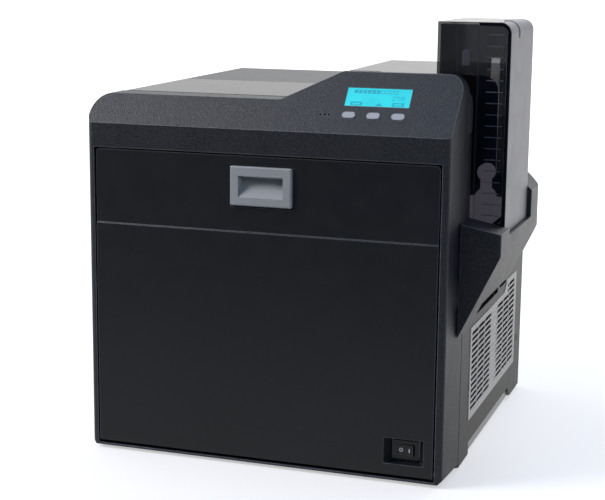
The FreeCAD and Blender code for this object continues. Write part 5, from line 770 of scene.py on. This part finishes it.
class CARDPRINTER_OT_rollers(Dressing, bpy.types.Operator):
    """Finishes the rollers, the print head and the card turner"""
    bl_idname = "card_printer.rollers"
    bl_label = "Rollers and head"

    def execute(self, context):
        # rubber ground round: black, dull and slightly dusty
        rubber = moulded("GroundRubber", linear("#1B1B1C"), 0.72, 0.0006, 0.00008,
                         drift=0.08, speckle=0.12, rim=0.2)
        # acetal in its own colour: creamy and waxy
        acetal = moulded("NaturalAcetal", linear("#CFCBBE"), 0.4, 0.0006, 0.00002, drift=0.04, speckle=0.03)
        # milled aluminium: pale, with the cutter's lines
        milled = metal("MilledAluminium", linear("#B9BBBD"), 0.34, (1.0, 12.0, 1.0), 0.006, 0.00002)
        finish_nodes(rubber, "heat_roller", "transfer_platen", "print_platen", "lower_feed_roller",
                     "upper_feed_roller", "pick_roller", "transport_belt", "rubber_feet")
        finish_nodes(acetal, "card_turner", "film_pinion", "ribbon_pinion", "turner_pinion", "motor_pulley")
        finish_nodes(milled, "print_head")
        return {"FINISHED"}


class CARDPRINTER_OT_chassis(Dressing, bpy.types.Operator):
    """Finishes the steel chassis, motors, supply, fan, inlet and screws"""
    bl_idname = "card_printer.chassis"
    bl_label = "Chassis and drive"

    def execute(self, context):
        # zinc plated sheet steel: pale satin sheets with rolled lines and cloudy gloss
        sheet = metal("ZincPlatedSheet", linear("#A3A6A8"), 0.36, (1.0, 1.0, 6.0), 0.005, 0.00003, drift=0.12)
        # black enamel sprayed on steel: a smooth half gloss
        paint = moulded("BlackMotorPaint", linear("#202224"), 0.35, 0.0006, 0.00004, rim=0.5)
        # glass-filled plastic: black, with a greyish bloom
        fan = moulded("GlassFilledFan", linear("#17181A"), 0.5, 0.0006, 0.00004, rim=0.4)
        # moulded phenolic: black with a hard shine
        socket = moulded("BlackPhenolicSocket", linear("#121314"), 0.35, 0.0005, 0.00003, rim=0.5)
        # blackened steel: dark grey heads with small highlights
        screw = metal("BlackenedScrew", linear("#8C8F92"), 0.3, (1.0, 1.0, 1.0), 0.002, 0.00002)
        finish_nodes(sheet, "base_tray", "main_bulkhead", "front_carrier", "power_supply")
        finish_nodes(paint, "drive_motors")
        finish_nodes(fan, "fan_frame", "fan_rotor")
        finish_nodes(socket, "mains_inlet")
        finish_nodes(screw, "case_screws")
        return {"FINISHED"}


class CARDPRINTER_OT_stage(Dressing, bpy.types.Operator):
    """Adds the pale floor, the soft light, the surroundings and the camera"""
    bl_idname = "card_printer.stage"
    bl_label = "Stage"

    def floor(self):
        """A pale table top that widens with its distance and keeps the object's shadow."""
        sheet = bmesh.new()
        # depth and half width of each cross line
        rows = ((-0.62, 2.4), (-0.3, 2.6), (0.6, 3.0), (3.0, 8.0), (26.0, 30.0))
        edges = [(sheet.verts.new((-wide, y, 0)), sheet.verts.new((wide, y, 0))) for y, wide in rows]
        for near, far in zip(edges, edges[1:]):
            sheet.faces.new((near[0], near[1], far[1], far[0]))
        mesh = bpy.data.meshes.new("floor")
        sheet.to_mesh(mesh)
        sheet.free()
        # matt coated board: nearly white, without any shine of its own
        material, tree, shader = new_material("PaleTableTop")
        rays = add(tree, "ShaderNodeLightPath").outputs
        seen = add(tree, "ShaderNodeMath", None, {0: rays["Is Camera Ray"], 1: rays["Is Transmission Ray"]},
                   operation="MAXIMUM").outputs["Value"]
        place = add(tree, "ShaderNodeTexCoord").outputs["Object"]
        fibre = add(tree, "ShaderNodeTexNoise", {"Scale": MOTTLE, "Detail": 2.0},
                    {"Vector": place}).outputs["Fac"]
        bump = add(tree, "ShaderNodeBump", {"Strength": 0.1, "Distance": 0.0002}, {"Height": fibre})
        paper = add(tree, "ShaderNodeBsdfDiffuse", {"Color": opaque(linear("#CBCBCD"))},
                    {"Normal": bump.outputs["Normal"]}).outputs["BSDF"]
        # the further back, the nearer the sheet comes to the white behind it
        depth = add(tree, "ShaderNodeSeparateXYZ", None, {"Vector": place}).outputs["Y"]
        clear = add(tree, "ShaderNodeMapRange",
                    {"From Min": 0.3, "From Max": 2.0, "To Min": 0.5, "To Max": 1.0},
                    {"Value": depth}).outputs["Result"]
        glow = add(tree, "ShaderNodeEmission", {"Color": (1, 1, 1, 1)},
                   {"Strength": clear}).outputs["Emission"]
        both = add(tree, "ShaderNodeAddShader", None, {0: paper, 1: glow}).outputs["Shader"]
        # reflections find the sheet brighter the further back it lies
        sheen = add(tree, "ShaderNodeMapRange",
                    {"From Min": -0.2, "From Max": 1.1, "To Min": 0.45, "To Max": 1.35},
                    {"Value": depth}).outputs["Result"]
        mirrored = add(tree, "ShaderNodeEmission", {"Color": (1, 1, 1, 1)},
                       {"Strength": sheen}).outputs["Emission"]
        mixed = add(tree, "ShaderNodeMixShader", None, {"Fac": seen, 1: paper, 2: both}).outputs["Shader"]
        mixed = add(tree, "ShaderNodeMixShader", None,
                    {"Fac": rays["Is Glossy Ray"], 1: mixed, 2: mirrored}).outputs["Shader"]
        tree.links.new(mixed, tree.nodes["Material Output"].inputs["Surface"])
        tree.nodes.remove(shader)
        mesh.materials.append(material)
        piece = bpy.data.objects.new("floor", mesh)
        bpy.context.scene.collection.objects.link(piece)

    def surroundings(self):
        """A light tent: bright above, behind and beside the object, dark from the camera's side."""
        world = bpy.data.worlds.new("Surroundings")
        bpy.context.scene.world = world
        world.use_nodes = True
        tree = world.node_tree
        rays = add(tree, "ShaderNodeLightPath").outputs
        way = add(tree, "ShaderNodeTexCoord").outputs["Generated"]
        part = add(tree, "ShaderNodeSeparateXYZ", None, {"Vector": way}).outputs
        # brighter the further back a ray goes, and the more steeply it rises
        behind = add(tree, "ShaderNodeMapRange",
                     {"From Min": -0.35, "From Max": 0.45, "To Min": 0.08, "To Max": 0.97},
                     {"Value": part["Y"]}, interpolation_type="SMOOTHSTEP").outputs["Result"]
        above = add(tree, "ShaderNodeMapRange",
                    {"From Min": 0.35, "From Max": 0.95, "To Min": 0.0, "To Max": 1.1},
                    {"Value": part["Z"]}, interpolation_type="SMOOTHSTEP").outputs["Result"]
        # the left is lit warm and the front right cool
        across = add(tree, "ShaderNodeMapRange", {"From Min": -0.46, "From Max": -0.22},
                     {"Value": part["X"]}).outputs["Result"]
        nearer = add(tree, "ShaderNodeMapRange", {"From Min": 0.5, "From Max": -0.2},
                     {"Value": part["Y"]}).outputs["Result"]
        cool = add(tree, "ShaderNodeMath", None, {0: across, 1: nearer},
                   operation="MULTIPLY").outputs["Value"]
        warm_light, cool_light = (1.0, 0.99, 0.98, 1.0), (0.13, 0.4, 1.0, 1.0)
        tint = add(tree, "ShaderNodeMix", {"A": warm_light, "B": cool_light}, {"Factor": cool},
                   data_type="RGBA").outputs["Result"]
        fade = add(tree, "ShaderNodeMapRange",
                   {"From Min": 0.0, "From Max": 1.0, "To Min": 1.85, "To Max": 0.42},
                   {"Value": across}).outputs["Result"]
        above = add(tree, "ShaderNodeMath", None, {0: above, 1: fade}, operation="MULTIPLY").outputs["Value"]
        level = add(tree, "ShaderNodeMath", None, {0: behind, 1: above}, operation="MAXIMUM").outputs["Value"]
        tent = add(tree, "ShaderNodeBackground", None,
                   {"Color": tint, "Strength": level}).outputs["Background"]
        white = add(tree, "ShaderNodeBackground",
                    {"Color": (1, 1, 1, 1), "Strength": 1.0}).outputs["Background"]
        mixed = add(tree, "ShaderNodeMixShader", None, {"Fac": rays["Is Camera Ray"], 1: tent, 2: white})
        tree.links.new(mixed.outputs["Shader"], tree.nodes["World Output"].inputs["Surface"])

    def lamp(self, name, place, aim, width, power, colour):
        """A round soft box that the camera doesn't see."""
        light = bpy.data.lights.new(name, "AREA")
        light.shape = "DISK"
        light.size = width
        light.energy = power
        light.color = colour
        piece = bpy.data.objects.new(name, light)
        piece.location = place
        piece.rotation_mode = "QUATERNION"
        piece.rotation_quaternion = (Vector(aim) - Vector(place)).to_track_quat("-Z", "Y")
        piece.visible_camera = False
        bpy.context.scene.collection.objects.link(piece)

    def camera(self):
        """Camera solved from the photograph's edges: place, directions and focal length."""
        place, focal_length, sensor_width = (0.39135, -1.2557, 0.4149), 86.24, 36.0
        yaw, pitch, roll = (math.radians(angle) for angle in (18.74, 11.01, 0.56))
        ahead = Vector((-math.sin(yaw) * math.cos(pitch), math.cos(yaw) * math.cos(pitch), -math.sin(pitch)))
        right = Vector((math.cos(yaw), math.sin(yaw), 0))
        up = right.cross(ahead)
        tilted_right = right * math.cos(roll) + up * math.sin(roll)
        tilted_up = up * math.cos(roll) - right * math.sin(roll)
        data = bpy.data.cameras.new("camera")
        data.sensor_width = sensor_width
        data.lens = focal_length
        piece = bpy.data.objects.new("camera", data)
        turn = Matrix((tilted_right, tilted_up, -ahead)).transposed().to_4x4()
        piece.matrix_world = Matrix.Translation(place) @ turn
        bpy.context.scene.collection.objects.link(piece)
        bpy.context.scene.camera = piece

    def execute(self, context):
        self.floor()
        self.surroundings()
        # place, aim, width, watts and colour
        self.lamp("softbox_left", (-1.5, -1.0, 1.3), (0, 0, 0.15), 0.9, 28.0, (1.0, 0.97, 0.94))
        self.lamp("softbox_above", (0.3, 1.3, 1.7), (0, 0, 0.2), 1.1, 14.0, (0.92, 0.96, 1.0))
        self.lamp("softbox_front", (1.3, -1.3, 0.9), (0.1, 0, 0.2), 0.7, 5.0, (1.0, 0.98, 0.95))
        self.camera()
        context.scene.view_settings.view_transform = "Standard"
        return {"FINISHED"}


OPERATORS = (
    CARDPRINTER_OT_stage, CARDPRINTER_OT_case, CARDPRINTER_OT_front_door, CARDPRINTER_OT_control_panel,
    CARDPRINTER_OT_power_switch, CARDPRINTER_OT_card_feeder, CARDPRINTER_OT_film_and_ribbon,
    CARDPRINTER_OT_rollers, CARDPRINTER_OT_chassis,
)


class CARDPRINTER_PT_dressing(bpy.types.Panel):
    bl_idname = "CARDPRINTER_PT_dressing"
    bl_label = "Card printer"
    bl_space_type = "VIEW_3D"
    bl_region_type = "UI"
    bl_category = "Card printer"

    def draw(self, context):
        for operator in OPERATORS:
            self.layout.operator(operator.bl_idname)
        for group in (context.scene.card_printer_colours, context.scene.card_printer_sizes):
            box = self.layout.box()
            for name in type(group).__annotations__:
                box.prop(group, name)


CLASSES = (CardPrinterColours, CardPrinterSizes, *OPERATORS, CARDPRINTER_PT_dressing)


def register():
    for item in CLASSES:
        bpy.utils.register_class(item)
    bpy.types.Scene.card_printer_colours = PointerProperty(type=CardPrinterColours)
    bpy.types.Scene.card_printer_sizes = PointerProperty(type=CardPrinterSizes)


def unregister():
    del bpy.types.Scene.card_printer_sizes
    del bpy.types.Scene.card_printer_colours
    for item in reversed(CLASSES):
        bpy.utils.unregister_class(item)


def main():
    register()
    for operator in OPERATORS:
        group, name = operator.bl_idname.split(".")
        getattr(getattr(bpy.ops, group), name)()


if __name__ == "__main__":
    main()
